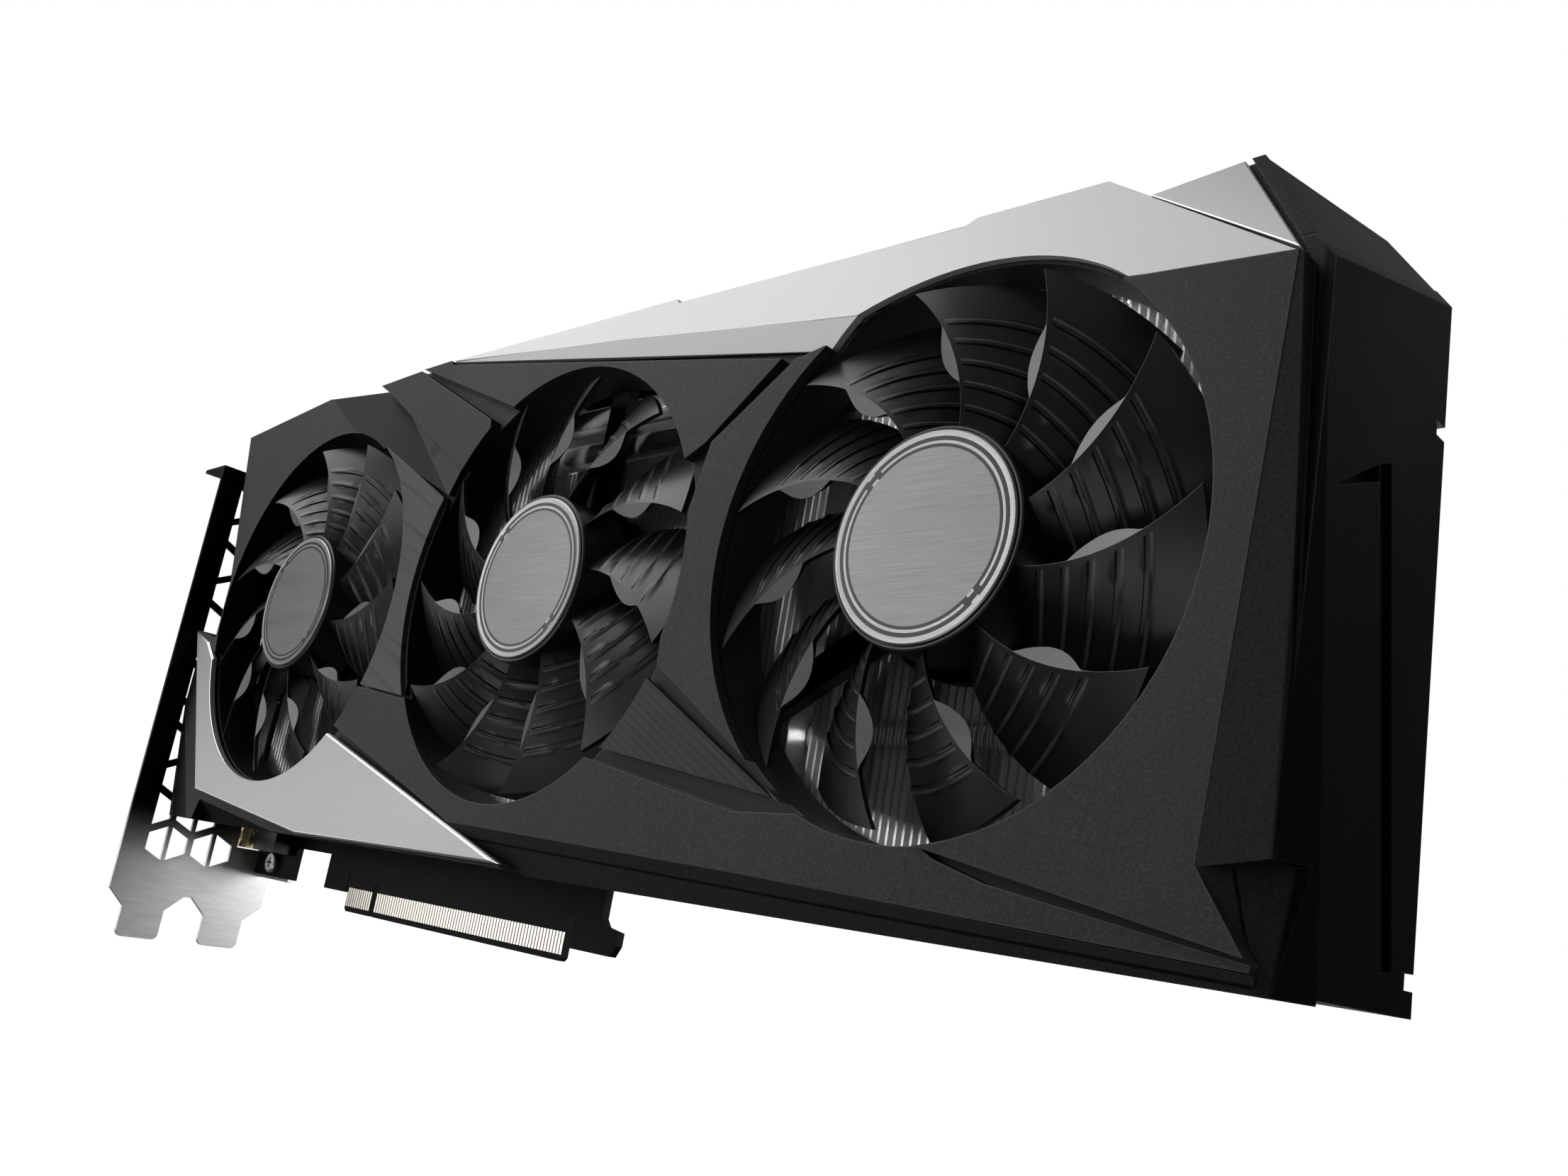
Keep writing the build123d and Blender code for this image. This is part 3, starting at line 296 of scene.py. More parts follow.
def satin_silver(name, low, high, roughness, metallic=0.72, shaded_top=False):
    """Sprayed metallic finish with a fine flake; faces that look up can be painted dark."""
    look = Look(name)
    flake = look.noise(look.stretched((5200.0,) * 3), detail=1.5)
    drift = look.noise(look.stretched((18.0,) * 3), detail=1.0)
    sprayed = look.ramp(flake, (0.30, grey(low, 0.01)), (0.70, grey(high, 0.01)))
    if shaded_top:
        upward = look.gate(look.facing("Z"), *UPWARD_Z)
        sprayed = look.blend(upward, sprayed, SHADED_BLACK)
    look.colour(sprayed)
    look.rough(look.spread(drift, roughness - 0.03, roughness + 0.05))
    look.bump(flake, 0.00001, 0.25)
    look.put(Metallic=metallic, Specular_IOR_Level=0.5)
    return look.material


def brushed_metal(name, low, high, roughness, pitch=0.00011):
    """Straight brushing along the length of the card."""
    look = Look(name)
    length = 0.011
    scratches = look.noise(look.stretched((1 / length, 1 / pitch, 1 / pitch)), detail=4.0, roughness=0.7)
    drift = look.noise(look.stretched((40.0, 40.0, 240.0)), detail=2.0)
    look.colour(look.ramp(scratches, (0.25, grey(low)), (0.75, grey(high))))
    look.rough(look.spread(drift, roughness - 0.05, roughness + 0.07))
    look.bump(scratches, 0.00001, 0.5)
    look.put(Metallic=0.9)
    return look.material


def ridged_insert(name, degrees, level, pitch=0.0):
    """Dark tinted panel with fine scratches over ridges, even ones if they are given a pitch."""
    look = Look(name)
    turn = (0.0, math.radians(degrees), 0.0)
    if pitch:
        coarse = look.waves(look.stretched((1.0, 1.0, 1.0), turn), pitch)
    else:
        coarse = look.noise(look.stretched((30.0, 30.0, 800.0), turn), detail=0.0, roughness=0.4)
    fine = look.noise(look.stretched((90.0, 3000.0, 3000.0), turn), detail=3.0, roughness=0.7)
    mean = look.spread(look.calc("ADD", coarse, fine), 0.0, 0.5)
    tones = ((0.30, 0.020), (0.52, 0.048), (0.70, 0.085))
    look.colour(look.ramp(mean, *((position, grey(tone * level)) for position, tone in tones)))
    look.rough(look.spread(fine, 0.38, 0.52))
    look.bump(mean, 0.00016, 0.6)
    look.put(Metallic=0.55)
    return look.material


def glossy_plastic(name, low, high, roughness, shine=0.5):
    """Smooth moulded black with faint flow marks."""
    look = Look(name)
    flow = look.noise(look.stretched((120.0, 120.0, 120.0)), detail=3.0)
    fine = look.noise(look.stretched((4000.0,) * 3), detail=1.0)
    look.colour(look.ramp(flow, (0.3, grey(low)), (0.7, grey(high))))
    look.rough(look.spread(flow, roughness - 0.05, roughness + 0.06))
    look.bump(fine, 0.000012, 0.35)
    look.put(Specular_IOR_Level=shine)
    return look.material


def sheet_metal(name, low, high, roughness, metallic=1.0, grain=(900.0, 900.0, 120.0)):
    """Rolled or plated metal with faint streaks."""
    look = Look(name)
    streak = look.noise(look.stretched(grain), detail=3.0)
    look.colour(look.ramp(streak, (0.3, grey(low)), (0.7, grey(high))))
    look.rough(look.spread(streak, roughness - 0.05, roughness + 0.06))
    look.bump(streak, 0.000008, 0.3)
    look.put(Metallic=metallic)
    return look.material


def coloured(name, low, high, roughness, metallic=0.0):
    """Fine-grained surface between two given colours."""
    look = Look(name)
    fine = look.noise(look.stretched((1500.0,) * 3), detail=2.0)
    look.colour(look.ramp(fine, (0.3, low), (0.7, high)))
    look.rough(look.spread(fine, roughness - 0.05, roughness + 0.05))
    look.bump(fine, 0.00001, 0.4)
    look.put(Metallic=metallic)
    return look.material


def bracket_metal():
    """Steel that is black higher up and fades to bright nickel towards the tabs."""
    look = Look("bracket_fade")
    fade = look.gate(look.axis("Z"), *BRACKET_FADE_Z, smooth=True)
    streak = look.noise(look.stretched((200.0, 200.0, 1400.0)), detail=3.0)
    bright = look.ramp(streak, (0.3, grey(0.74)), (0.7, grey(0.84)))
    look.colour(look.blend(fade, bright, BRACKET_BLACK))
    look.rough(look.spread(streak, 0.26, 0.36))
    look.bump(streak, 0.000006, 0.3, look.rounded(0.0002))
    look.put(Metallic=0.8)
    return look.material


def gold_contacts():
    """Pale hard-gold plating with a fine across-the-finger grain."""
    look = Look("contact_gold")
    fine = look.noise(look.stretched((700.0, 700.0, 5000.0)), detail=2.0)
    look.colour(look.ramp(fine, (0.3, (0.88, 0.82, 0.72)), (0.7, (0.97, 0.93, 0.85))))
    look.rough(look.spread(fine, 0.26, 0.34))
    look.bump(fine, 0.000004, 0.2)
    look.put(Metallic=0.9)
    return look.material


def port_shell():
    """Port shells painted dark as shade; only the lowest corner next to the bracket shows gold plating."""
    look = Look("port_gold_corner")
    above = look.gate(look.axis("Z"), *GOLD_TOP_Z)
    inward = look.gate(look.axis("X"), *(PORT_BACK_X - reach for reach in GOLD_REACH))
    # away from the gold corner the shells are painted dark as shade
    plain = look.calc("MAXIMUM", above, inward)
    fine = look.noise(look.stretched((600.0,) * 3), detail=3.0)
    coarse = look.noise(look.stretched((330.0, 330.0, 200.0)), detail=1.0)
    gold = look.ramp(fine, (0.3, (0.56, 0.42, 0.18)), (0.7, (0.86, 0.72, 0.40)))
    patched = look.blend(look.gate(coarse, 0.52, 0.56), gold, GOLD_GAP)
    look.colour(look.blend(plain, patched, PORT_SHADE_BLACK))
    look.rough(look.spread(fine, 0.26, 0.38))
    look.bump(fine, 0.00002, 0.3)
    look.put(Metallic=0.7)
    return look.material


def solder_mask():
    """Matt black mask over faint buried tracks."""
    look = Look("board_mask")
    tracks = look.node("ShaderNodeTexBrick")
    look.link(look.stretched((420.0, 420.0, 420.0), (math.pi / 2, 0.0, 0.0)), tracks.inputs["Vector"])
    for socket, height in (("Color1", 0.5), ("Color2", 0.6), ("Mortar", 0.3)):
        tracks.inputs[socket].default_value = (height, height, height, 1.0)
    fine = look.noise(look.stretched((900.0,) * 3), detail=3.0)
    look.colour(look.ramp(fine, (0.3, grey(0.003, 0.05)), (0.7, grey(0.006, 0.05))))
    look.rough(look.spread(fine, 0.46, 0.56))
    look.put(Specular_IOR_Level=0.08)
    look.bump(tracks.outputs["Color"], 0.00002, 0.4)
    return look.material


SHROUD = shroud_plastic()
# copies of one satin silver, each toned to the light on its trim: the top copy for the light on top, the low
# trim's copy painted darker as shade
SILVER = satin_silver("silver_satin", 0.60, 0.68, 0.36)
# the bevelled edges are painted brighter as a highlight
SILVER_EDGE_HIGHLIGHT = satin_silver("silver_painted_edge_highlight", 0.88, 0.94, 0.22)
SILVER_TOP = satin_silver("silver_satin_top", 0.78, 0.84, 0.50, 0.15)
SILVER_TOP_EDGE_HIGHLIGHT = satin_silver("silver_top_edge_highlight", 0.88, 0.94, 0.30, 0.3, shaded_top=True)
SILVER_LOW_SHADED = satin_silver("silver_satin_low_shaded", 0.38, 0.44, 0.40)
TRIM_FINISH_AND_PAINTED_LIGHT = {                         # face, bevelled edge
    "trim_top": (SILVER_TOP, SILVER_TOP_EDGE_HIGHLIGHT),
    "trim_tail": (SILVER, SILVER_EDGE_HIGHLIGHT),
    "trim_low": (SILVER_LOW_SHADED, SILVER_EDGE_HIGHLIGHT),
}
FAN_BLACK = glossy_plastic("fan_black", 0.009, 0.014, 0.34)
# the leaf is painted lighter as a sheen of the front light
LEAF_SHEEN_GREY = glossy_plastic("fan_leaf_painted_sheen", 0.11, 0.15, 0.34)
# the ribs' outer flanks are painted lighter as a highlight, the inner flanks dark as shadow
RIB_HIGHLIGHT_SIDE = glossy_plastic("rib_painted_highlight_side", 0.075, 0.10, 0.34)
RIB_SHADOW_SIDE = glossy_plastic("rib_painted_shadow_side", 0.0008, 0.0016, 0.6, 0.1)
BADGE = brushed_metal("badge_brushed", 0.14, 0.25, 0.36)
BADGE_RIM = brushed_metal("badge_rim", 0.28, 0.36, 0.32, pitch=0.0003)
INK = glossy_plastic("badge_ink", 0.006, 0.009, 0.35)
STEEL = sheet_metal("steel_sheet", 0.40, 0.52, 0.30)
NICKEL = sheet_metal("nickel_plate", 0.90, 0.97, 0.22, 0.8)
FIN = sheet_metal("fin_sheet", 0.95, 0.99, 0.30, 0.4, grain=(300.0, 900.0, 200.0))
MATERIALS = {
    "shroud_black": SHROUD,
    "silver_trim": SILVER,
    "fan_black": FAN_BLACK,
    "frame_black": glossy_plastic("frame_black", 0.007, 0.011, 0.5),
    "badge_metal": BADGE,
    "fin_aluminium": FIN,
    "pipe_nickel": NICKEL,
    "plate_nickel": sheet_metal("plate_nickel", 0.55, 0.66, 0.28),
    "steel": STEEL,
    "screw_steel": sheet_metal("screw_zinc", 0.38, 0.5, 0.32),
    "black_screw": coloured("screw_black", grey(0.012), grey(0.03), 0.36, 0.6),
    "magnet": coloured("magnet_ferrite", grey(0.02), grey(0.035), 0.7),
    "lamination": sheet_metal("lamination_steel", 0.22, 0.34, 0.4, grain=(200.0, 4000.0, 200.0)),
    "copper_wire": coloured("copper_enamel", (0.36, 0.12, 0.04), (0.56, 0.22, 0.08), 0.3, 0.85),
    "bronze": coloured("bearing_bronze", (0.30, 0.19, 0.08), (0.42, 0.28, 0.12), 0.42, 0.8),
    "board_black": solder_mask(),
    "gold": gold_contacts(),
    "chip_black": coloured("chip_mould", grey(0.012), grey(0.02), 0.55),
    "die_grey": coloured("die_silicon", grey(0.05, 0.1), grey(0.07, 0.1), 0.16),
    "choke_grey": coloured("choke_powder", grey(0.07), grey(0.11), 0.6),
    "can_silver": sheet_metal("capacitor_can", 0.6, 0.72, 0.3),
    "pad_grey": coloured("thermal_pad", grey(0.17, 0.1), grey(0.22, 0.1), 0.75),
    "socket_black": moulded_plastic("socket_black", 0.008, 0.018, 0.5),
    "header_cream": coloured("header_cream", (0.52, 0.48, 0.38), (0.62, 0.58, 0.47), 0.5),
    "port_metal": sheet_metal("port_tin", 0.5, 0.62, 0.28),
    "port_gold": port_shell(),
    "plate_black": moulded_plastic("plate_powder_coat", 0.012, 0.026, 0.42, 0.0006, 0.00003, 0.0002),
    "brushed_dark": ridged_insert("insert_ridged", -29.0, 0.24, 0.0012),
}
NODE_MATERIALS = {
    "bracket": bracket_metal(),
    "insert_left": ridged_insert("insert_brushed", -24.0, 1.3),
}


def dress_frame():
    """Gives every CAD node its procedural material."""
    slots = {entry["node"]: entry["material_slot"] for entry in frame["record"]["subparts"]}
    for name, node in NODES.items():
        chosen = NODE_MATERIALS.get(name) or MATERIALS[slots[name]]
        node.data.materials.clear()
        node.data.materials.append(chosen)


# ---------------------------------------------------------------- mesh helpers
def add_piece(name, verts, faces, materials, sharp=30.0, indices=None):
    """Makes a mesh object in the row frame with smooth shading up to a sharp angle."""
    mesh = bpy.data.meshes.new(name)
    mesh.from_pydata([tuple(v) for v in verts], [], faces)
    for material in materials:
        mesh.materials.append(material)
    if indices is not None:
        mesh.polygons.foreach_set("material_index", indices)
    mesh.validate()
    mesh.polygons.foreach_set("use_smooth", [True] * len(mesh.polygons))
    mesh.set_sharp_from_angle(angle=math.radians(sharp))
    piece = bpy.data.objects.new(name, mesh)
    bpy.context.scene.collection.objects.link(piece)
    return piece


class Sculpt:
    """Collects vertices and faces, with a material index for each face."""

    def __init__(self):
        self.verts = []
        self.faces = []
        self.indices = []

    def quad_strip(self, first, second, index=0, closed=False):
        """Faces between two rows of vertex numbers."""
        count = len(first)
        for k in range(count if closed else count - 1):
            n = (k + 1) % count
            self.faces.append((first[k], first[n], second[n], second[k]))
            self.indices.append(index)

    def row(self, points):
        start = len(self.verts)
        self.verts.extend(points)
        return list(range(start, start + len(points)))


# ---------------------------------------------------------------- fans
# Sizes in mm from the fan's centre on the plane of the ring openings; depths run into the card.
HUB_R = 15.75
BLADE_TIP = 38.9
BLADE_ROOT = 15.2
BLADES = 11
BLADE_SPAN = math.radians(29.0)
BLADE_SWEEP = math.radians(23.0)
TIP_ANGLE = math.radians(5.0)
MIDDLE_TURN = math.radians(-2.1)
LEAD_DEPTH = 0.35
TRAIL_DEPTH = 9.3
SLOPE_SHARE = 0.75                      # share of the depth that grows evenly with the chord
THIN = 0.55                             # least thickness, and what the middle of the chord adds
BELLY = 0.6
RIBS = (18.8, 22.2, 25.6, 29.0, 32.4)
RIB_HEIGHT = 0.34
RIB_HALF = 0.26
RIB_SLOPE = 0.30
RIB_OVERLAP = 0.02
RIB_START = 0.05                        # chord where the ribs start, and the chord they take to rise
RIB_RISE = 0.28
LEAF_FROM = 22.6
LEAF_TO = 31.6
LEAF_REACH = 2.5
LEAF_RIM = 0.06
LEAF_DROOP = 0.30
LEAF_TUCK = 0.05
PLAIN, LEAF, RIB_INNER, RIB_OUTER = range(4)
ROTOR_MATERIALS = (FAN_BLACK, LEAF_SHEEN_GREY, RIB_SHADOW_SIDE, RIB_HIGHLIGHT_SIDE)


def leaf_reach(radius):
    """How far the leaf on the leading edge, painted lighter as a sheen, stands out at a radius."""
    along = (radius - LEAF_FROM) / (LEAF_TO - LEAF_FROM)
    if not 0 < along < 1:
        return 0.0
    return LEAF_REACH * math.sin(math.pi * along ** 0.8) ** 0.9


def blade_point(radius, chord, under):
    """Place on a blade as (x, depth, z) in mm from the fan's centre, chord 0 at its leading edge."""
    out = (radius - BLADE_ROOT) / (BLADE_TIP - BLADE_ROOT)
    lead = TIP_ANGLE - BLADE_SWEEP * (1 - out ** 1.15)
    angle = lead - BLADE_SPAN * chord
    curve = SLOPE_SHARE * chord + (1 - SLOPE_SHARE) * chord * chord
    depth = LEAD_DEPTH + (TRAIL_DEPTH - LEAD_DEPTH) * curve
    if under:
        depth += THIN + BELLY * math.sin(math.pi * min(1.0, chord * 1.1 + 0.15)) ** 0.7
    elif RIB_START < chord:
        rise = min(1.0, (chord - RIB_START) / RIB_RISE)
        nearest = min(abs(radius - rib) for rib in RIBS)
        if nearest < RIB_HALF:
            depth -= RIB_HEIGHT * rise
    return radius * math.cos(angle), depth, radius * math.sin(angle)


def leaf_point(radius, under):
    """Rim of the leaf in front of the leading edge; the reach is zero away from the leaf."""
    x, depth, z = blade_point(radius, 0.0, under)
    reach = leaf_reach(radius) + LEAF_RIM
    length = math.hypot(x, z)
    depth += reach * (-LEAF_TUCK if under else LEAF_DROOP)
    return x - z / length * reach, depth, z + x / length * reach


def blade_radii():
    """Radial stations: close together at each rib, wider elsewhere."""
    stations = [BLADE_ROOT, 17.0]
    for rib in RIBS:
        for side in (-1, 1):
            stations += [rib + side * (RIB_HALF + RIB_SLOPE), rib + side * (RIB_HALF - RIB_OVERLAP)]
        stations.append(rib + 1.3)
    stations += [23.2, 24.0, 27.5, 30.8, 31.2, 35.0, 36.2, 37.4, 38.3, BLADE_TIP]
    return sorted(set(round(r, 3) for r in stations))


def rib_side(radius):
    """Material of the blade's top at a radius: each rib's inner flank is painted dark as shadow and its
    outer flank painted lighter as a highlight.
    """
    for rib in RIBS:
        if -RIB_HALF - RIB_SLOPE < radius - rib < -RIB_HALF + RIB_OVERLAP:
            return RIB_INNER
        if RIB_HALF - RIB_OVERLAP < radius - rib < RIB_HALF + RIB_SLOPE:
            return RIB_OUTER
    return PLAIN


CHORDS = (0.0, 0.05, 0.10, 0.16, 0.24, 0.33, 0.43, 0.54, 0.65, 0.76, 0.88, 1.0)


def add_blade(sculpt, centre, turn, mirror):
    """One closed blade shell: top with ribs, leaf, underside, edges and tip."""
    cos_t, sin_t = math.cos(turn), math.sin(turn)

    def placed(point):
        """The point turned to this blade's place, mirrored for the middle fan, in metres."""
        x, depth, z = point
        x, z = x * cos_t - z * sin_t, x * sin_t + z * cos_t
        if mirror:
            x = -x
        return centre + Vector((x, depth, z)) * MM

    tops, leafs, leaf_backs, unders = [], [], [], []
    radii = blade_radii()
    for radius in radii:
        tops.append(sculpt.row([placed(blade_point(radius, c, False)) for c in CHORDS]))
        unders.append(sculpt.row([placed(blade_point(radius, c, True)) for c in CHORDS]))
        leafs += sculpt.row([placed(leaf_point(radius, False))])
        leaf_backs += sculpt.row([placed(leaf_point(radius, True))])
    for k in range(len(radii) - 1):
        sculpt.quad_strip(tops[k][:2], tops[k + 1][:2])
        sculpt.quad_strip(tops[k][1:], tops[k + 1][1:], rib_side((radii[k] + radii[k + 1]) / 2))
        sculpt.quad_strip(unders[k + 1], unders[k])
        on_leaf = leaf_reach(radii[k]) + leaf_reach(radii[k + 1]) > 0
        sculpt.quad_strip([tops[k + 1][0], leafs[k + 1]], [tops[k][0], leafs[k]], LEAF if on_leaf else PLAIN)
        sculpt.quad_strip([leafs[k + 1], leaf_backs[k + 1]], [leafs[k], leaf_backs[k]])
        sculpt.quad_strip([leaf_backs[k + 1], unders[k + 1][0]], [leaf_backs[k], unders[k][0]])
        sculpt.quad_strip([tops[k][-1], unders[k][-1]], [tops[k + 1][-1], unders[k + 1][-1]])
    for end in (0, -1):
        sculpt.quad_strip([leafs[end]] + tops[end], [leaf_backs[end]] + unders[end])


def turned(sculpt, centre, profile, segments, indices=None):
    """Revolves a closed (radius, depth) profile about the fan's axis."""
    rings = []
    for radius, depth in profile:
        angles = [2 * math.pi * k / segments for k in range(segments)]
        rings.append(sculpt.row([
            centre + Vector((radius * math.cos(a), depth, radius * math.sin(a))) * MM for a in angles
        ]))
    for k, ring in enumerate(rings):
        sculpt.quad_strip(ring, rings[(k + 1) % len(rings)], indices[k] if indices else 0, closed=True)


HUB_PROFILE = (
    (15.15, -0.55), (15.25, -0.78), (15.5, -0.8), (15.72, -0.6), (HUB_R, -0.3), (HUB_R, 9.9), (15.5, 10.2),
    (14.6, 10.2), (14.55, 9.9), (14.55, 1.2), (1.6, 1.2), (1.6, -0.55),
)


def fan_centre(name):
    """Centre of a fan on the plane of the ring openings."""
    low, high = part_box(f"shaft_{name}")
    shaft_front = 0.4 * MM
    return Vector(((low.x + high.x) / 2, low.y - shaft_front, (low.z + high.z) / 2))


def add_rotor(name):
    """Hub and eleven ribbed blades; the middle fan turns the other way."""
    sculpt = Sculpt()
    centre = fan_centre(name)
    turned(sculpt, centre, HUB_PROFILE, 96)
    mirror = name == "middle"
    for k in range(BLADES):
        turn = 2 * math.pi * k / BLADES + (MIDDLE_TURN if mirror else 0.0)
        add_blade(sculpt, centre, turn, mirror)
    piece = add_piece(f"rotor_{name}_detail", sculpt.verts, sculpt.faces, ROTOR_MATERIALS, 34.0,
                      sculpt.indices)
    mend_normals(piece)
    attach(piece, f"fan_{name}")
    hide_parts(f"rotor_{name}")


def mend_normals(piece):
    """Turns every face outwards."""
    work = bmesh.new()
    work.from_mesh(piece.data)
    bmesh.ops.recalc_face_normals(work, faces=work.faces)
    work.to_mesh(piece.data)
    work.free()


# ---------------------------------------------------------------- badges
BADGE_R = 15.05
BADGE_FACE = -1.15
BADGE_BACK = -0.55
RING_BANDS = ((12.50, 12.95), (13.40, 14.0))
STEP_ANGLES = (math.radians(138), math.radians(-42))
STEP_HALF = math.radians(7)
RING_STEP = STEP_HALF * 0.4             # gap of the inked rings beside each step mark
INK_RISE = 0.03                         # ink above the disc, and how deep it is sunk into it
INK_SUNK = 0.1
DISC, RIM, INKED = range(3)
BADGE_PROFILE = (
    (0.02, BADGE_FACE), (12.5, BADGE_FACE), (12.52, BADGE_FACE), (14.2, BADGE_FACE),
    (14.3, BADGE_FACE - 0.02), (14.8, BADGE_FACE - 0.02), (15.0, BADGE_FACE + 0.12),
    (BADGE_R, BADGE_FACE + 0.25), (BADGE_R, BADGE_BACK), (0.02, BADGE_BACK),
)


def arc_strip(sculpt, centre, inner, outer, start, end, front, back, index):
    """Thin raised band along an arc."""
    count = max(3, int(abs(end - start) / math.radians(2.5)))
    rows = []
    for radius, depth in ((inner, back), (inner, front), (outer, front), (outer, back)):
        angles = [start + (end - start) * k / count for k in range(count + 1)]
        rows.append(sculpt.row([
            centre + Vector((radius * math.cos(a), depth, radius * math.sin(a))) * MM for a in angles
        ]))
    for k in range(4):
        sculpt.quad_strip(rows[k], rows[(k + 1) % 4], index)
    for end_at in (0, -1):
        sculpt.faces.append(tuple(row[end_at] for row in rows))
        sculpt.indices.append(index)


def add_badge(name):
    """Blank brushed disc inside a bright rim, with two inked rings and their step marks."""
    sculpt = Sculpt()
    centre = fan_centre(name)
    turned(sculpt, centre, BADGE_PROFILE, 144, [DISC] + [RIM] * (len(BADGE_PROFILE) - 1))
    for inner, outer in RING_BANDS:
        for k, step in enumerate(STEP_ANGLES):
            start = step + RING_STEP
            end = STEP_ANGLES[1 - k] - RING_STEP + (2 * math.pi if k == 0 else 0)
            if end - start > 2 * math.pi:
                end -= 2 * math.pi
            arc_strip(sculpt, centre, inner, outer, start, end,
                      BADGE_FACE - INK_RISE, BADGE_FACE + INK_SUNK, INKED)
    for step in STEP_ANGLES:
        arc_strip(sculpt, centre, 12.95, 13.7, step - STEP_HALF, step + STEP_HALF,
                  BADGE_FACE - 0.035, BADGE_FACE + INK_SUNK, INKED)
    piece = add_piece(f"badge_{name}_detail", sculpt.verts, sculpt.faces, [BADGE, BADGE_RIM, INK], 20.0,
                      sculpt.indices)
    mend_normals(piece)
    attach(piece, f"fan_{name}")
    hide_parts(f"badge_{name}")


# ---------------------------------------------------------------- trims with painted edge highlights
TRIM_BEVEL = 0.0002
TRIM_ANGLES = {"trim_top": 9.0, "trim_tail": 28.0, "trim_low": 28.0}   # least bend that is bevelled
WELD = 0.000002


def add_trim(node):
    """Copy of a silver trim whose edges carry a narrow bevel painted bright as a highlight."""
    source = NODES[node]
    work = bmesh.new()
    work.from_mesh(source.data)
    bmesh.ops.remove_doubles(work, verts=work.verts, dist=WELD)
    bmesh.ops.dissolve_limit(work, angle_limit=math.radians(1.0), verts=work.verts, edges=work.edges)
    mesh = bpy.data.meshes.new(f"{node}_bevelled")
    work.to_mesh(mesh)
    work.free()
    mesh.materials.clear()
    for finish in TRIM_FINISH_AND_PAINTED_LIGHT[node]:
        mesh.materials.append(finish)
    mesh.polygons.foreach_set("material_index", [0] * len(mesh.polygons))
    mesh.polygons.foreach_set("use_smooth", [False] * len(mesh.polygons))
    piece = bpy.data.objects.new(f"{node}_bevelled", mesh)
    bpy.context.scene.collection.objects.link(piece)
    bevel = piece.modifiers.new("edge", "BEVEL")
    bevel.width = TRIM_BEVEL
    bevel.segments = 2
    bevel.limit_method = "ANGLE"
    bevel.angle_limit = math.radians(TRIM_ANGLES[node])
    # the bevel faces take the bright edge tone, a painted highlight
    bevel.material = 1
    bevel.use_clamp_overlap = True
    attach(piece, "card")
    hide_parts(node)


# ---------------------------------------------------------------- stage
CARD_MIDDLE = Vector((0.085, -0.02, 0.055))
BRACKET_TAB = Vector((-0.062, -0.015, -0.004))
CARD_EDGE = Vector((0.030, -0.001, 0.003))
FLOOR_Z = -0.20
FLOOR_HALF = 6.0
ROOM_STRENGTH = 0.10
LIGHTS = (                  # name, direction, distance, size, energy, target
    ("key_softbox", (-0.50, -0.46, 0.72), 0.75, (0.75, 0.5), 2.9, CARD_MIDDLE),
    ("front_softbox", (-0.68, -0.68, 0.18), 0.8, (0.35, 0.4), 1.1, CARD_MIDDLE),
    ("tail_fill", (0.85, -0.45, 0.35), 0.9, (0.4, 0.6), 0.10, CARD_MIDDLE),
    ("back_rim", (0.05, 0.80, 0.60), 0.8, (0.7, 0.4), 0.5, CARD_MIDDLE),
    ("low_fill", (0.1, -0.75, -0.60), 0.8, (0.6, 0.3), 0.7, CARD_MIDDLE),
    ("fan_fill", (-0.25, -1.0, 0.10), 0.8, (0.5, 0.3), 0.85, CARD_MIDDLE),
    ("fin_glow", (-0.15, -1.0, 0.05), 0.8, (0.4, 0.3), 8.0, CARD_MIDDLE),
    ("tab_glow", (0.70, 0.68, 0.22), 0.3, (0.15, 0.17), 0.42, BRACKET_TAB),
    ("contact_glow", (-0.84, -0.54, -0.03), 0.5, (0.25, 0.15), 0.16, CARD_EDGE),
)


def add_light(name, direction, distance, size, energy, target):
    """Soft rectangular light that faces its target."""
    data = bpy.data.lights.new(name, "AREA")
    data.shape = "RECTANGLE"
    data.size, data.size_y = size
    data.energy = energy
    light = bpy.data.objects.new(name, data)
    bpy.context.scene.collection.objects.link(light)
    towards = Vector(direction).normalized()
    light.location = target + towards * distance
    light.rotation_mode = "QUATERNION"
    light.rotation_quaternion = towards.to_track_quat("Z", "Y")
    return light


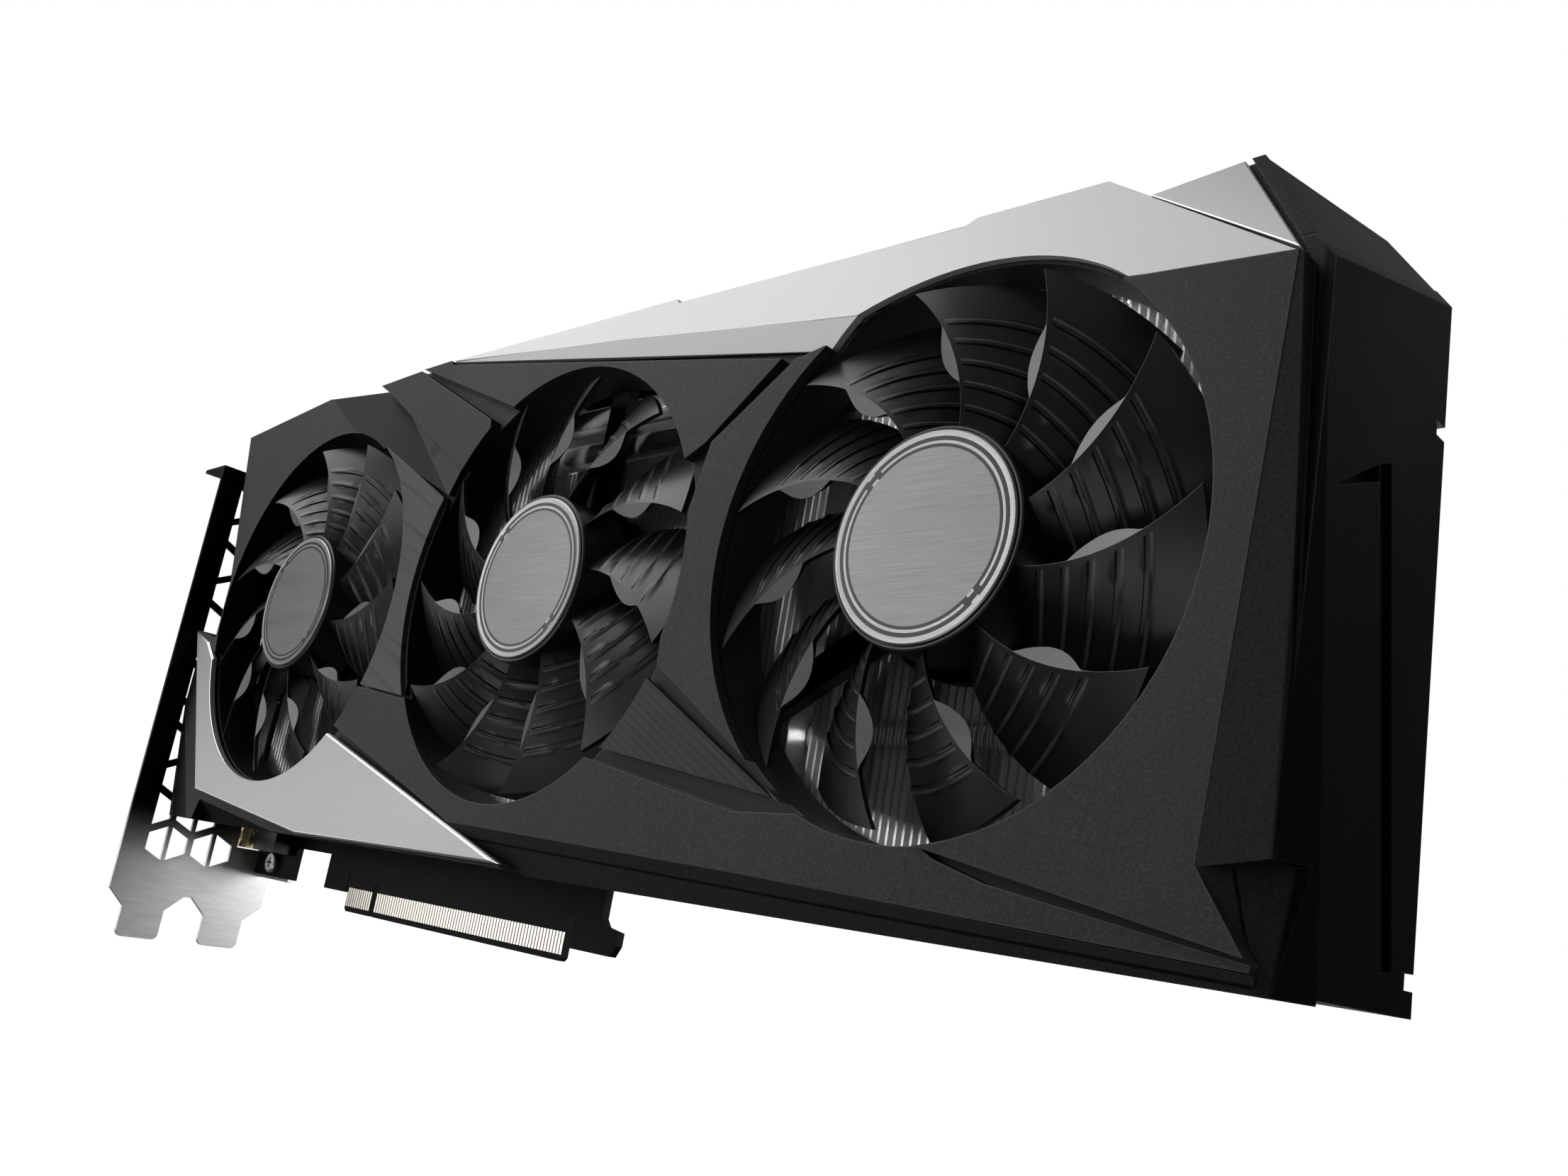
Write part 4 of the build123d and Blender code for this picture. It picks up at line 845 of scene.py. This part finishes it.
def add_room():
    """White where the camera looks past the card, dim and neutral for light and reflections."""
    scene = bpy.context.scene
    scene.view_settings.view_transform = "Standard"
    world = bpy.data.worlds.new("room")
    scene.world = world
    world.use_nodes = True
    tree = world.node_tree
    tree.nodes.clear()
    path = tree.nodes.new("ShaderNodeLightPath")
    seen = tree.nodes.new("ShaderNodeBackground")
    seen.inputs["Color"].default_value = (1.0, 1.0, 1.0, 1.0)
    seen.inputs["Strength"].default_value = 1.0
    lit = tree.nodes.new("ShaderNodeBackground")
    lit.inputs["Color"].default_value = (0.96, 0.98, 1.0, 1.0)
    lit.inputs["Strength"].default_value = ROOM_STRENGTH
    mix = tree.nodes.new("ShaderNodeMixShader")
    out = tree.nodes.new("ShaderNodeOutputWorld")
    tree.links.new(path.outputs["Is Camera Ray"], mix.inputs["Fac"])
    tree.links.new(lit.outputs["Background"], mix.inputs[1])
    tree.links.new(seen.outputs["Background"], mix.inputs[2])
    tree.links.new(mix.outputs["Shader"], out.inputs["Surface"])


def add_floor():
    """Pale floor that gives off its own light and doesn't show in reflections."""
    corners = [
        Vector((x * FLOOR_HALF, y * FLOOR_HALF, FLOOR_Z)) for x, y in ((-1, -1), (1, -1), (1, 1), (-1, 1))
    ]
    look = Look("floor_white")
    drift = look.noise(look.stretched((3.0,) * 3), detail=2.0)
    look.colour(look.ramp(drift, (0.3, grey(0.90)), (0.7, grey(0.93))))
    look.put(Emission_Color=(1.0, 1.0, 1.0, 1.0), Emission_Strength=0.97, Roughness=0.8)
    floor = add_piece("floor", corners, [(0, 1, 2, 3)], [look.material])
    floor.visible_diffuse = False
    floor.visible_glossy = False


def add_lights():
    """All the lights; fin_glow reaches only the fins and heat pipes."""
    lights = {name: add_light(name, *rest) for name, *rest in LIGHTS}
    lit_fins = bpy.data.collections.new("lit_fins")
    for name, node in NODES.items():
        if name.startswith(("fin_stack", "heatpipe")):
            lit_fins.objects.link(node)
    lights["fin_glow"].light_linking.receiver_collection = lit_fins


add_camera()
dress_frame()
for fan in FANS:
    add_rotor(fan)
    add_badge(fan)
for trim in TRIM_FINISH_AND_PAINTED_LIGHT:
    add_trim(trim)
add_room()
add_floor()
add_lights()
